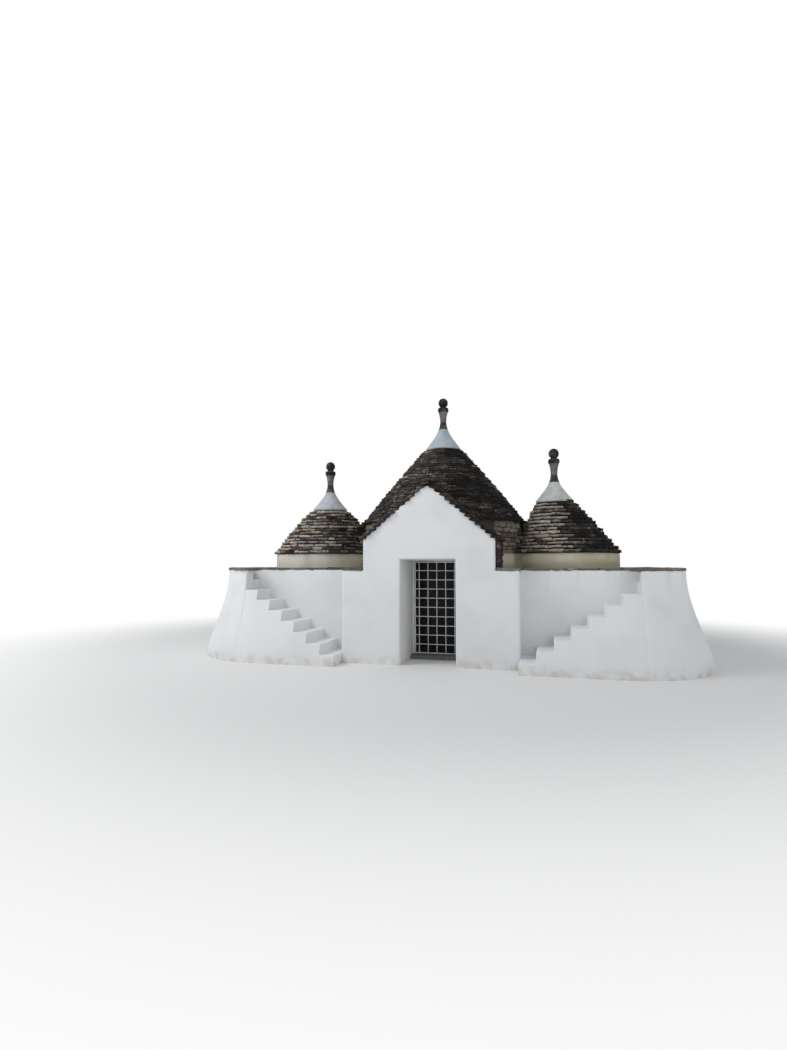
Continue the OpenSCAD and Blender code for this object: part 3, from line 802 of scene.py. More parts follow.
@dataclass(frozen=True)
class Plan:
    """Main sizes of the house, read from the frame."""

    ledge: float
    corner_x: float
    corner_y: float
    head_r: float
    flare: float
    bay_half: float
    bay_y: float
    bay_top: float
    door_half: float
    door_h: float
    stair_start: float
    stair_end: float
    stair_y: float
    stair_top: float
    middle: Drum
    right: Drum
    left: Drum
    flare_shape: float = 0.8
    gable_slope: float = 40.0
    gable_r: float = 0.18
    coping_lap: float = 0.02
    room_r: float = 1.25
    step_count: int = 7

    @classmethod
    def read(cls) -> "Plan":
        """Works the sizes out from the boxes of the CAD nodes.

        Returns:
            The plan of the house.
        """
        end, rear, coping = high("end_wall_right"), high("rear_wall_middle"), high("coping_rear")
        gable_low, gable_high = low("gable_wall"), high("gable_wall")
        stair_low, stair_high = low("stair_right"), high("stair_right")
        top_d = coping[1] - cls.coping_lap
        flare = rear[1] - top_d
        head_r = end[0] - flare - coping[0]
        drum_low, drum_high = low("drum_middle"), high("drum_middle")
        drum_r = (drum_high[0] - drum_low[0]) / 2
        right, left = high("drum_right"), high("drum_left")
        left_x = low("drum_left")[0] + left[1]
        return cls(
            ledge=end[2], corner_x=coping[0], corner_y=top_d - head_r, head_r=head_r,
            flare=flare, bay_half=gable_high[0], bay_y=gable_low[1], bay_top=gable_high[2],
            door_half=low("jamb_right")[0], door_h=gable_low[2], stair_start=stair_low[0],
            stair_end=stair_high[0], stair_y=stair_high[1], stair_top=stair_high[2],
            middle=Drum(drum_high[0] - drum_r, drum_high[1] - drum_r, drum_r, drum_low[2], drum_high[2]),
            right=Drum(right[0] - right[1], 0.0, right[1], low("drum_right")[2], right[2]),
            left=Drum(left_x, 0.0, left[1], low("drum_left")[2], left[2]),
        )

    def flare_at(self, z: np.ndarray) -> np.ndarray:
        """Flare of the wall face at a height: half a cosine wave over the height to a power."""
        share = np.clip(z / self.ledge, 0.0, 1.0)
        return self.flare * (0.5 + 0.5 * np.cos(np.pi * share**self.flare_shape))

    def slope_z(self, x: np.ndarray) -> np.ndarray:
        """Height of the gable's outline: straight slopes that join a round top as tangents.

        Args:
            x: Distances from the middle of the bay.

        Returns:
            The height at each of them.
        """
        slope = math.radians(self.gable_slope)
        r = self.gable_r
        centre = self.bay_top - self.gable_r
        straight = centre + r / math.cos(slope) - np.abs(x) * math.tan(slope)
        round_top = centre + np.sqrt(np.maximum(r * r - np.square(x), 0.0))
        return np.where(np.abs(x) < r * math.sin(slope), round_top, straight)


def resample(path: np.ndarray, spacing: float) -> np.ndarray:
    """Points at even steps along a path of straight stretches, with both its ends.

    Args:
        path: Corners of the path, (n, 2).
        spacing: About how far apart the points are.

    Returns:
        The points, (m, 2).
    """
    steps = np.linalg.norm(np.diff(path, axis=0), axis=1)
    along = np.concatenate([[0.0], np.cumsum(steps)])
    at = np.linspace(0.0, along[-1], max(2, int(round(along[-1] / spacing)) + 1))
    return np.stack([np.interp(at, along, path[:, k]) for k in range(path.shape[1])], axis=1)


def rounded_path(points: list[tuple[float, float]], radius: float, steps: int) -> np.ndarray:
    """Path through points with each inner corner replaced by a curve of about one radius.

    At a corner the path leaves its first side one radius before the corner and joins the
    second one radius after it, along (1-t)^2 a + 2t(1-t) corner + t^2 b.

    Args:
        points: Corners of the path.
        radius: Radius of the curves, cut to just under half of a short side.
        steps: Points on each curve.

    Returns:
        The points of the path, (n, 2).
    """
    longest_cut = 0.49
    pts = np.array(points, float)
    out = [pts[:1]]
    t = np.linspace(0.0, 1.0, steps)[:, None]
    for before, corner, after in zip(pts[:-2], pts[1:-1], pts[2:]):
        first = before - corner
        second = after - corner
        a = corner + first * min(longest_cut, radius / np.linalg.norm(first))
        b = corner + second * min(longest_cut, radius / np.linalg.norm(second))
        out.append((1 - t) ** 2 * a + 2 * t * (1 - t) * corner + t**2 * b)
    out.append(pts[-1:])
    return np.concatenate(out)


@dataclass
class WallCoat:
    """Limewashed coat of the outer walls: the face section carried round the house.

    The coat stands proud of the masonry and runs out to nothing at the ground.
    """

    plan: Plan
    finish: bpy.types.Material
    coat: float = 0.006
    bulge: float = 0.009
    leaf: float = 0.17
    top_r: float = 0.02
    landing: float = 0.25
    lap: float = 0.08
    back_gap: float = 0.02
    parapet_l: float = 0.4
    corner_share: float = 0.8
    foot_rise: float = 0.1
    swell_rise: float = 0.3
    wave: float = 0.7
    rows: int = 44
    spacing: float = 0.036
    least_count: int = 6
    arc_steps: int = 5
    smoothings: int = 4
    seed: int = 11

    def path(self, face_x: np.ndarray, notch_y: np.ndarray, radius: np.ndarray) -> np.ndarray:
        """Plan of the right half, from the landing round to the middle of the rear.

        Args:
            face_x: X of the wall at the end of the flight, (stations, rows).
            notch_y: Y of the arris between landing and parapet, of the same size.
            radius: Radius of the corners, of the same size.

        Returns:
            Places, (stations, rows, 2).
        """
        p = self.plan
        parts = []
        start = 0
        for name, count in self.counts().items():
            s = np.linspace(0.0, 1.0, count)[:, None]
            wall_x, arris_y, r = (values[start:start + count] for values in (face_x, notch_y, radius))
            start += count
            front_y = -p.corner_y - np.sqrt(r * r - (wall_x - p.corner_x) ** 2)
            if name == "notch":
                x, y = wall_x + 0 * s, (p.stair_y + self.lap) * (1 - s) + arris_y * s
            elif name == "parapet":
                x, y = wall_x + 0 * s, arris_y * (1 - s) + front_y * s
            elif name == "front_corner":
                begin = np.arcsin((wall_x - p.corner_x) / r)
                turn = begin + (np.pi / 2 - begin) * s
                x, y = p.corner_x + r * np.sin(turn), -p.corner_y - r * np.cos(turn)
            elif name == "end":
                x, y = p.corner_x + r + 0 * s, p.corner_y * (2 * s - 1) + 0 * r
            elif name == "rear_corner":
                turn = np.pi / 2 * s
                x, y = p.corner_x + r * np.cos(turn), p.corner_y + r * np.sin(turn)
            else:
                x, y = p.corner_x * (1 - s) + 0 * r, p.corner_y + r + 0 * s
            parts.append(np.stack(np.broadcast_arrays(x, y), axis=-1))
        return np.concatenate(parts)

    def counts(self) -> dict[str, int]:
        """Stations on each stretch of the right half, at about the spacing.

        Returns:
            Number of stations by the name of the stretch, in order.
        """
        p = self.plan
        quarter = (p.head_r + p.flare / 2) * np.pi / 2
        lengths = {
            "notch": self.landing + self.lap,
            "parapet": self.parapet_l,
            "front_corner": quarter * self.corner_share,
            "end": 2 * p.corner_y,
            "rear_corner": quarter,
            "rear": p.corner_x,
        }
        return {name: max(self.least_count, int(length / self.spacing)) for name, length in lengths.items()}

    def make(self) -> None:
        """Builds the coat round both ends and the rear as one closed piece."""
        p = self.plan
        counts = self.counts()
        total = sum(counts.values())
        step_rise = p.stair_top / p.step_count
        tops = np.full((total, 1), p.ledge + self.coat)
        tops[:counts["notch"]] = p.stair_top + step_rise + self.coat
        v = np.linspace(0.0, 1.0, self.rows)
        z = v * (tops - self.top_r)
        grow = self.coat * ease(z / self.foot_rise)
        notch_y = p.stair_y - self.landing
        radius = p.head_r + (p.flare_at(z) + grow)
        face = self.path(p.stair_end - grow, notch_y + grow, radius)
        self.soften(face)
        back_x = p.stair_end + self.landing + self.back_gap - self.coat
        inner = self.path(*(np.full((total, 1), value) for value in (back_x, notch_y, p.head_r - self.leaf)))
        inward = inner - face[:, -1:, :]
        inward /= np.linalg.norm(inward, axis=-1, keepdims=True)
        turn = np.linspace(0.0, np.pi / 2, self.arc_steps)[1:]
        edge = face[:, -1:, :] + inward * (self.top_r * (1 - np.cos(turn)))[None, :, None]
        edge_z = tops - self.top_r + self.top_r * np.sin(turn)
        back = np.repeat(inner, 2, axis=1)
        back_z = np.hstack([tops, 0 * tops])
        flat = np.concatenate([face, edge, back], axis=1)
        section = np.dstack([flat, np.hstack([z, edge_z, back_z])])
        self.ruffle(section, inward)
        left = (section * (-1.0, 1.0, 1.0))[::-1]
        whole = np.concatenate([section, left[1:]])
        add_piece("wall_coat", whole, self.finish)

    def soften(self, face: np.ndarray) -> None:
        """Rounds the arrises by averaging each station with its neighbours a few times over.

        Args:
            face: Places, (stations, rows, 2), which are changed in place.
        """
        notch = self.counts()["notch"]
        for part in (slice(0, notch), slice(notch, None)):
            stretch = face[part]
            for _ in range(self.smoothings):
                stretch[1:-1] = (stretch[:-2] + 2.0 * stretch[1:-1] + stretch[2:]) / 4.0

    def ruffle(self, section: np.ndarray, inward: np.ndarray) -> None:
        """Lets the face swell outwards by up to the bulge, in wide uneven waves.

        The distance is bulge * (0.5 + 0.5 noise), eased in above the ground, so that the
        foot keeps its line. The two points at the back stay.

        Args:
            section: Places, (stations, rows, 3), which are changed in place.
            inward: Level direction towards the back at each station.
        """
        front = section[:, :-2]
        waves = rough_noise(front, self.wave, self.seed) * 0.5 + 0.5
        push = self.bulge * waves * ease(front[..., 2] / self.swell_rise)
        front[..., :2] -= inward * push[..., None]


@dataclass
class Flight:
    """Plastered steps of one flight, whose front follows the flare of the wall."""

    plan: Plan
    side: Side
    finish: bpy.types.Material
    nosing: float = 0.022
    proud: float = 0.004
    foot_z: float = 0.012
    lap: float = 0.03
    spacing: float = 0.024
    rows: int = 36
    tread_cols: int = 20
    edge_steps: int = 5
    sag: float = 0.006
    wave: float = 0.22
    still_foot: float = 0.06
    seed: int = 23

    def outline(self) -> np.ndarray:
        """Stepped line of the flight, with worn nosings.

        Returns:
            Length and height of each station, (n, 2).
        """
        p = self.plan
        run = (p.stair_end - p.stair_start) / p.step_count
        rise = p.stair_top / p.step_count
        line = [(p.stair_start - self.proud, self.foot_z)]
        for i in range(p.step_count):
            line.append((p.stair_start + i * run - self.proud, (i + 1) * rise + self.proud))
            line.append((p.stair_start + (i + 1) * run - self.proud, (i + 1) * rise + self.proud))
        line[-1] = (p.stair_end + self.lap, line[-1][1])
        return resample(rounded_path(line, self.nosing, self.edge_steps), self.spacing)

    def make(self) -> None:
        """Builds the flight as closed sections, one for each station of the stepped line.

        A section runs up the front, round the nosing, back along the tread and down behind.
        The front is straight up to the centre of the corner and goes round beyond it. Points
        sink and draw in by up to sag, in uneven waves, and the foot keeps its line.
        """
        p = self.plan
        x, h = self.outline().T
        x, h = x[:, None], h[:, None]
        r = np.minimum(self.nosing, h * 0.5)
        z = np.linspace(0.0, 1.0, self.rows) * (h - r)
        wall_r = p.head_r + p.flare_at(z)
        y = -p.corner_y - np.sqrt(wall_r * wall_r - np.maximum(x - p.corner_x, 0.0) ** 2)
        turn = np.linspace(0.0, np.pi / 2, self.edge_steps)[1:]
        edge_y = y[:, -1:] + r * (1 - np.cos(turn))
        edge_z = h - r + r * np.sin(turn)
        back = p.stair_y + self.lap
        t = np.linspace(0.0, 1.0, self.tread_cols)[1:]
        tread_y = edge_y[:, -1:] * (1 - t) + back * t
        all_y = np.hstack([y, edge_y, tread_y, np.full_like(h, back)])
        all_z = np.hstack([z, edge_z, np.repeat(h, len(t), axis=1), 0 * h])
        points = np.stack([np.broadcast_to(x, all_y.shape), all_y, all_z], axis=-1).copy()
        waves = rough_noise(points, self.wave, self.seed) * 0.5 - 0.5
        keep = ease(points[..., 2] / self.still_foot)
        points[..., 2] += self.sag * waves * keep
        points[..., 1] -= self.sag * waves * keep * (points[..., 1] < edge_y[:, -1:])
        points[..., 0] *= self.side.value
        word = self.side.word
        add_piece(f"flight_{word}", points, self.finish, (f"stair_{word}",))


@dataclass
class FlightWall:
    """Limewashed coat of the upright wall behind a flight, and of its return to the bay."""

    plan: Plan
    side: Side
    finish: bpy.types.Material
    coat: float = 0.006
    bulge: float = 0.006
    leaf: float = 0.05
    laps: tuple[float, float] = (0.04, 0.06)
    cols: int = 52
    rows: int = 42
    wave: float = 0.6
    seed: int = 31

    def make(self) -> None:
        """Carries an upright section along the wall behind the flight."""
        p = self.plan
        x = np.linspace(p.stair_start - self.laps[0], p.stair_end + self.laps[1], self.cols)
        z = np.linspace(0.0, p.ledge + self.coat, self.rows)
        front = np.stack(np.meshgrid(x, [p.stair_y - self.coat], z, indexing="ij"), axis=-1)[:, 0]
        waves = rough_noise(front, self.wave, self.seed) * 0.5 + 0.5
        front[..., 1] -= self.bulge * waves
        back = front.copy()
        back[..., 1] = p.stair_y + self.leaf
        section = np.concatenate([front, back[:, ::-1]], axis=1)
        section[..., 0] *= self.side.value
        add_piece(f"flight_wall_{self.side.word}", section, self.finish)


@dataclass
class GableCoat:
    """Limewashed front of the bay and the walls beside it, with the reveals of the doorway."""

    plan: Plan
    finish: bpy.types.Material
    coat: float = 0.006
    bulge: float = 0.008
    bulge_edge: float = 0.05
    edge_r: float = 0.035
    reveal_r: float = 0.03
    arc_steps: int = 6
    leaf: float = 0.06
    front_t: float = 0.11
    wall_return: float = 0.5
    roof_return: float = 0.12
    room_gap: float = 0.004
    jamb_counts: tuple[int, int, int] = (46, 12, 16)
    slope_count: int = 30
    round_count: int = 12
    face_cols: int = 30
    reveal_cols: int = 28
    wave: float = 0.6
    seed: int = 47

    def door_loop(self, grow: float) -> np.ndarray:
        """Right half of the doorway's outline, from its foot to the middle of the lintel.

        Args:
            grow: Distance from the reveal into the masonry.

        Returns:
            Places, (stations, 2) of x and z.
        """
        p = self.plan
        half = p.door_half - self.coat + grow
        top = p.door_h - self.coat + grow
        jamb, lintel = sum(self.jamb_counts), self.slope_count + self.round_count
        z = np.linspace(0.0, top, jamb, endpoint=False)
        x = np.linspace(half, 0.0, lintel)
        upright = np.stack([np.full(jamb, half), z], axis=1)
        return np.concatenate([upright, np.stack([x, np.full(lintel, top)], axis=1)])

    def outer_loop(self, inset: float) -> np.ndarray:
        """Right half of the outer outline, at the same stations as the doorway's.

        It goes up the wall beside the bay, along its top, up the bay and up the slope, and
        ends in the round top, which the slope meets as a tangent.

        Args:
            inset: Distance inwards from the outline.

        Returns:
            Places, (stations, 2) of x and z.
        """
        p = self.plan
        wall = p.stair_start + self.coat - inset
        ledge = p.ledge + self.coat - inset
        bay = p.bay_half + self.coat - inset
        slope = math.radians(p.gable_slope)
        r = p.gable_r + self.coat - inset
        centre = p.bay_top - p.gable_r
        eave_z = centre + r / math.cos(slope) - bay * math.tan(slope)
        join = (r * math.sin(slope), centre + r * math.cos(slope))
        corners = [(wall, 0.0), (wall, ledge), (bay, ledge), (bay, eave_z), join]
        parts = []
        for count, a, b in zip((*self.jamb_counts, self.slope_count), corners[:-1], corners[1:]):
            s = np.linspace(0.0, 1.0, count, endpoint=False)[:, None]
            parts.append(np.array(a) * (1 - s) + np.array(b) * s)
        turn = np.linspace(slope, 0.0, self.round_count)
        parts.append(np.stack([r * np.sin(turn), centre + r * np.cos(turn)], axis=1))
        return np.concatenate(parts)

    def make(self) -> None:
        """Carries a closed section along both outlines: reveal, round edge, face, edge and back.

        The reveal ends just before the round wall of the middle room.
        """
        p = self.plan
        face_y = p.bay_y - self.coat
        door, door_far = self.both(self.door_loop(0.0)), self.both(self.door_loop(self.reveal_r))
        door_back = self.both(self.door_loop(self.leaf + self.coat))
        outer, outer_in = self.both(self.outer_loop(0.0)), self.both(self.outer_loop(self.edge_r))
        outer_back = self.both(self.outer_loop(self.leaf + self.edge_r))
        past_room = np.sqrt(p.room_r**2 - (door[:, 0] - p.middle.x) ** 2)
        at_back = p.middle.y - past_room - self.room_gap
        s = np.linspace(0.0, 1.0, self.reveal_cols)[:, None]
        lines = [self.level(door, y) for y in at_back * (1 - s) + (face_y + self.reveal_r) * s]
        turns = np.linspace(0.0, np.pi / 2, self.arc_steps)
        for a in turns[1:]:
            flat = door * math.cos(a) + door_far * (1 - math.cos(a))
            lines.append(self.level(flat, face_y + self.reveal_r * (1 - math.sin(a))))
        for t in np.linspace(0.0, 1.0, self.face_cols)[1:-1]:
            lines.append(self.level(door_far * (1 - t) + outer_in * t, face_y))
        for a in turns:
            flat = outer_in * (1 - math.sin(a)) + outer * math.sin(a)
            lines.append(self.level(flat, face_y + self.edge_r * (1 - math.cos(a))))
        station = np.arange(len(door))
        on_wall = np.minimum(station, station[::-1]) < self.jamb_counts[0]
        depth = np.where(on_wall, self.wall_return, self.roof_return)
        for t in (0.25, 0.5, 0.75, 1.0):
            lines.append(self.level(outer, face_y + self.edge_r + (depth - self.edge_r) * t))
        seen = len(lines)
        inner_y = face_y + self.front_t
        lines += [self.level(outer_back, face_y + depth), self.level(outer_back, inner_y)]
        lines += [self.level(door_back, inner_y), self.level(door_back, at_back)]
        section = np.stack(lines, axis=1)
        visible = section[:, :seen]
        waves = rough_noise(visible, self.wave, self.seed) * 0.5 + 0.5
        on_face = ease((face_y + self.bulge_edge - visible[..., 1]) / self.bulge_edge)
        visible[..., 1] -= self.bulge * waves * on_face
        add_piece("gable_coat", section, self.finish)

    @staticmethod
    def both(half: np.ndarray) -> np.ndarray:
        """Adds the mirrored left half to a right half that ends in the middle."""
        return np.concatenate([half, (half * (-1.0, 1.0))[-2::-1]])

    @staticmethod
    def level(flat: np.ndarray, y: np.ndarray | float) -> np.ndarray:
        """Places outline points, (n, 2) of x and z, at a y."""
        return np.stack([flat[:, 0], np.broadcast_to(y, len(flat)), flat[:, 1]], axis=1)


@dataclass
class Terrace:
    """Weathered screed on top of the wall mass, between the copings and the drums."""

    plan: Plan
    finish: bpy.types.Material
    coat: float = 0.006
    below: float = 0.03
    tuck: float = 0.04
    under_coping: float = 0.15
    uneven: float = 0.004
    wave: float = 0.5
    seed: int = 59
    arc_steps: tuple[int, int] = (20, 24)
    cols: int = 22
    spacing: float = 0.04

    def boundary(self) -> np.ndarray:
        """Outer outline, from the right side of the bay round to its left side.

        Returns:
            Evenly spaced points, (n, 2).
        """
        p = self.plan
        r = p.head_r - self.under_coping
        front = p.stair_y + self.tuck
        start = math.acos((-p.corner_y - front) / r)
        turns = np.linspace(start, np.pi / 2, self.arc_steps[0])
        rear = np.linspace(0.0, np.pi / 2, self.arc_steps[1])
        right = np.concatenate([
            [(p.bay_half - self.tuck, front)],
            np.stack([p.corner_x + r * np.sin(turns), -p.corner_y - r * np.cos(turns)], axis=1),
            np.stack([p.corner_x + r * np.cos(rear), p.corner_y + r * np.sin(rear)], axis=1),
            [(0.0, p.corner_y + r)],
        ])
        left = (right * (-1.0, 1.0))[::-1]
        return resample(np.concatenate([right, left[1:]]), self.spacing)

    def inner(self, outer: np.ndarray) -> np.ndarray:
        """Where the line from the spine of the house to an outer point leaves the drums.

        The spine runs between the centres of the side drums. Each drum is met at
        t = b + sqrt(b^2 - c), with b the centre along the line and c its distance squared
        less the radius squared, and the farthest meeting counts.

        Args:
            outer: Points of the outer outline, (n, 2).

        Returns:
            The places where the lines leave the drums, (n, 2).
        """
        p = self.plan
        spine = np.stack([np.clip(outer[:, 0], p.left.x, p.right.x), 0 * outer[:, 0]], axis=1)
        way = outer - spine
        way /= np.linalg.norm(way, axis=1, keepdims=True)
        reach = np.zeros(len(outer))
        for drum in (p.middle, p.right, p.left):
            to_axis = np.array((drum.x, drum.y)) - spine
            b = np.einsum("ij,ij->i", to_axis, way)
            root = b * b - np.einsum("ij,ij->i", to_axis, to_axis) + (drum.r - self.tuck) ** 2
            reach = np.maximum(reach, np.where(root > 0, b + np.sqrt(np.maximum(root, 0)), 0))
        return spine + way * reach[:, None]

    def make(self) -> None:
        """Builds the screed as a thin closed sheet."""
        p = self.plan
        outer = self.boundary()
        inner = self.inner(outer)
        t = np.linspace(0.0, 1.0, self.cols)[:, None]
        flat = outer[:, None] * (1 - t) + inner[:, None] * t
        top = np.dstack([flat, np.full(flat.shape[:2], p.ledge + self.coat)])
        top[..., 2] += self.uneven * rough_noise(top, self.wave, self.seed)
        under = top.copy()
        under[..., 2] = p.ledge - self.below
        section = np.concatenate([top, under[:, ::-1]], axis=1)
        add_piece("terrace", section, self.finish)


@dataclass(frozen=True)
class Course:
    """How the stones of a course are cut and laid.

    The sizes are its shortest and longest stone, proud is the spread of the outer faces about
    their line, and drop is how far the backs stand above the fronts.
    """

    sizes: tuple[float, float]
    depth: float
    height: float
    joint: float = 0.008
    proud: float = 0.006
    drop: float = 0.0


@dataclass
class StoneBed:
    """Stones laid course by course, gathered and then made into one mesh.

    A stone is a rough block: a box of cells whose edges are drawn in by shares of its length,
    depth and height, and whose points are shaken. Its place is its outer face's middle, its
    tangent and its normal. Tones vary from stone to stone and from course to course.
    """

    seed: int
    rounding: tuple[float, float, float]
    shake: tuple[float, float, float]
    cells: tuple[int, int, int] = (4, 2, 2)
    tilt: float = 0.02
    spread: float = 0.2
    sway: float = 0.07
    # Strength of the painted shade on the underside and back of each stone.
    underside: float = 0.35
    uneven: float = 0.14
    full_turn: float = 6.0
    least_course: float = 0.02
    batches: list[dict[str, np.ndarray]] = field(default_factory=list)

    def __post_init__(self) -> None:
        """Starts the row of random numbers."""
        self.rng = np.random.default_rng(self.seed)

    def lengths(self, total: float, sizes: tuple[float, float]) -> np.ndarray:
        """Random lengths, scaled so that they fill a total.

        Args:
            total: Length of the course.
            sizes: Shortest and longest stone before the scaling.

        Returns:
            Length of each stone.
        """
        count = max(1, int(round(total / (sum(sizes) / 2))))
        drawn = self.rng.uniform(*sizes, count)
        return drawn * total / drawn.sum()

    def courses(
        self, bottom: float, top: float, heights: tuple[float, float]
    ) -> Iterator[tuple[float, float]]:
        """Courses of random heights from the bottom up, with the last one cut to fit.

        Args:
            bottom: Underside of the first course.
            top: Top of the last course.
            heights: Lowest and highest course.

        Yields:
            Underside and height of each course.
        """
        z = bottom
        while z < top - self.least_course:
            height = min(self.rng.uniform(*heights), top - z)
            yield z, height
            z += height

    def add(
        self, centre: np.ndarray, tangent: np.ndarray, normal: np.ndarray, z: float, course: Course,
        length: np.ndarray, rise: np.ndarray, tone: np.ndarray, bend: float = 0.0,
    ) -> None:
        """Adds stones, each with a tint of its own.

        Args:
            centre: Middle of each outer face in plan, (n, 2).
            tangent: Direction of each length in plan, (n, 2).
            normal: Outward direction of each stone in plan, (n, 2).
            z: Height of the underside.
            course: How the stones are cut and laid.
            length: Length of each stone with its joint.
            rise: Height of each stone, as a share of the course's.
            tone: Tone of each stone.
            bend: Curvature of the outer faces, 1 over their radius.
        """
        n = len(length)
        values = {
            "z": z, "length": length - course.joint, "depth": course.depth, "height": course.height * rise,
            "drop": course.drop, "bend": bend, "tone": tone, "hue": self.rng.random(n),
        }
        batch = {key: np.broadcast_to(value, n).astype(float) for key, value in values.items()}
        batch.update(centre=centre, tangent=tangent, normal=normal)
        self.batches.append(batch)

    def shade(self, count: int) -> np.ndarray:
        """Random tones about the middle, with a share for the whole course and one for each stone."""
        return 0.5 + self.rng.normal(0.0, self.sway) + self.rng.normal(0.0, self.spread, count)

    def ring(
        self, axis: tuple[float, float], r: float, z: float, course: Course,
        arc: tuple[float, float] = (0.0, math.tau), keep: Callable | None = None,
        tone: Callable | None = None,
    ) -> None:
        """Adds one course round an axis.

        Args:
            axis: Place of the axis in plan.
            r: Radius of the outer faces.
            z: Height of the underside.
            course: How the stones are cut and laid.
            arc: First and last angle of the course, in radians.
            keep: Function of the places (n, 2) that says which stones stay.
            tone: Function of the angles that gives what is added to the tones.
        """
        reach = arc[1] - arc[0]
        lengths = self.lengths(reach * r, course.sizes)
        turn = arc[0] + (np.cumsum(lengths) - lengths / 2) / r
        if reach > self.full_turn:
            turn = turn + self.rng.random() * math.tau
        normal = np.stack([np.cos(turn), np.sin(turn)], axis=1)
        tangent = np.stack([-np.sin(turn), np.cos(turn)], axis=1)
        out = r + self.rng.normal(0.0, course.proud, len(turn))
        centre = np.array(axis) + normal * out[:, None]
        rise = self.rng.uniform(1.0 - self.uneven, 1.0, len(turn))
        shade = self.shade(len(turn)) + (tone(turn) if tone else 0.0)
        here = keep(centre) if keep else np.ones(len(turn), bool)
        self.add(centre[here], tangent[here], normal[here], z, course, lengths[here], rise[here],
                 shade[here], 1.0 / r)

    def row(
        self, start: tuple[float, float], end: tuple[float, float], normal: tuple[float, float], z: float,
        course: Course, tone: float = 0.0,
    ) -> None:
        """Adds one straight course.

        Args:
            start: Where the outer faces begin, in plan.
            end: Where they end.
            normal: Direction in plan that they look to.
            z: Height of the underside.
            course: How the stones are cut and laid.
            tone: What is added to the tones.
        """
        a, b, out = np.array(start), np.array(end), np.array(normal, float)
        total = float(np.linalg.norm(b - a))
        lengths = self.lengths(total, course.sizes)
        way = (b - a) / total
        at = np.cumsum(lengths) - lengths / 2
        shift = self.rng.normal(0.0, course.proud, len(at))
        centre = a + way * at[:, None] + out * shift[:, None]
        ones = np.ones((len(at), 1))
        rise = self.rng.uniform(1.0 - self.uneven, 1.0, len(at))
        shade = self.shade(len(at)) + tone
        self.add(centre, ones * way, ones * out, z, course, lengths, rise, shade)

    def template(self) -> tuple[np.ndarray, np.ndarray]:
        """Points and quads of one block, in shares of its length, depth and height.

        The six sides of a box are grids of cells whose shared points are merged, in the order
        in which they come up. Length runs from -0.5 to 0.5, depth from -1 at the back to 0,
        and height from 0 to 1.

        Returns:
            Points, (n, 3), and point numbers of the quads, (m, 4).
        """
        counts = np.array(self.cells)
        sides, flips = [], []
        for axis in range(3):
            u, v = (axis + 1) % 3, (axis + 2) % 3
            i, j = np.indices((counts[u], counts[v])).reshape(2, -1, 1)
            for end in (0, counts[axis]):
                side = np.full((i.size, 4, 3), end)
                side[..., u] = i + (0, 1, 1, 0)
                side[..., v] = j + (0, 0, 1, 1)
                sides.append(side)
                flips.append(np.full(i.size, end == 0))
        corners = np.concatenate(sides).reshape(-1, 3)
        keys = corners @ np.array((10_000, 100, 1))
        _, first, number = np.unique(keys, return_index=True, return_inverse=True)
        quads = np.argsort(np.argsort(first))[number].reshape(-1, 4)
        flip = np.concatenate(flips)
        quads[flip] = quads[flip, ::-1]
        grid = corners[np.sort(first)] / counts * 2.0 - 1.0
        outer_planes = np.isclose(np.abs(grid), 1.0).sum(axis=1, keepdims=True)
        drawn = grid * (1.0 - np.array(self.rounding) * np.maximum(outer_planes - 1, 0))
        return drawn * (0.5, 0.5, 0.5) + (0.0, -0.5, 0.5), quads

    def mesh(self) -> tuple[np.ndarray, list[np.ndarray], dict[str, np.ndarray]]:
        """All the stones together.

        A point at (u, o, w) of the block lies at centre + tangent u l + normal (o d - b (u l)^2 / 2)
        in plan and at z + w h - o drop in height, plus its own shake. The tone falls off towards
        the underside and the back of each stone, as painted shade under and between the stones.

        Returns:
            Points, groups of faces, and attribute values by name.
        """
        block, quads = self.template()
        all_of = {key: np.concatenate([batch[key] for batch in self.batches]) for key in self.batches[0]}
        n, count = len(all_of["z"]), len(block)
        shake = self.rng.normal(0.0, 1.0, (n, count, 3)).clip(-2, 2) * self.shake
        along = block[:, 0] * all_of["length"][:, None] + shake[..., 0]
        out = block[:, 1] * all_of["depth"][:, None] - all_of["bend"][:, None] * along**2 / 2 + shake[..., 1]
        plan = (all_of["centre"][:, None] + all_of["tangent"][:, None] * along[..., None]
                + all_of["normal"][:, None] * out[..., None])
        tip = self.rng.normal(0.0, self.tilt, (n, 1)) * along
        z = (all_of["z"][:, None] + block[:, 2] * all_of["height"][:, None]
             - block[:, 1] * all_of["drop"][:, None] + shake[..., 2] + tip)
        points = np.dstack([plan, z]).reshape(-1, 3)
        faces = (quads[None] + (np.arange(n) * count)[:, None, None]).reshape(-1, 4)
        # Painted shade: each stone's tone falls towards its underside and back.
        after_painted_shade = 1.0 - self.underside * (1.0 - block[:, 2]) - self.underside * np.clip(-block[:, 1], 0.0, 1.0)
        tone = np.clip(all_of["tone"][:, None] * after_painted_shade, 0.0, 1.0)
        return points, [faces], {"tone": tone, "hue": np.repeat(all_of["hue"], count)}

    def make(
        self, name: str, finish: bpy.types.Material, slot: str, stands_for: tuple[str, ...] = ()
    ) -> None:
        """Adds the stones to the scene as one piece.

        Args:
            name: Name of the piece.
            finish: Material of the stones.
            slot: Name of a material slot; not used.
            stands_for: CAD nodes that the stones replace.
        """
        points, faces, values = self.mesh()
        add_piece(name, points, finish, stands_for, faces, values, crease=35.0)


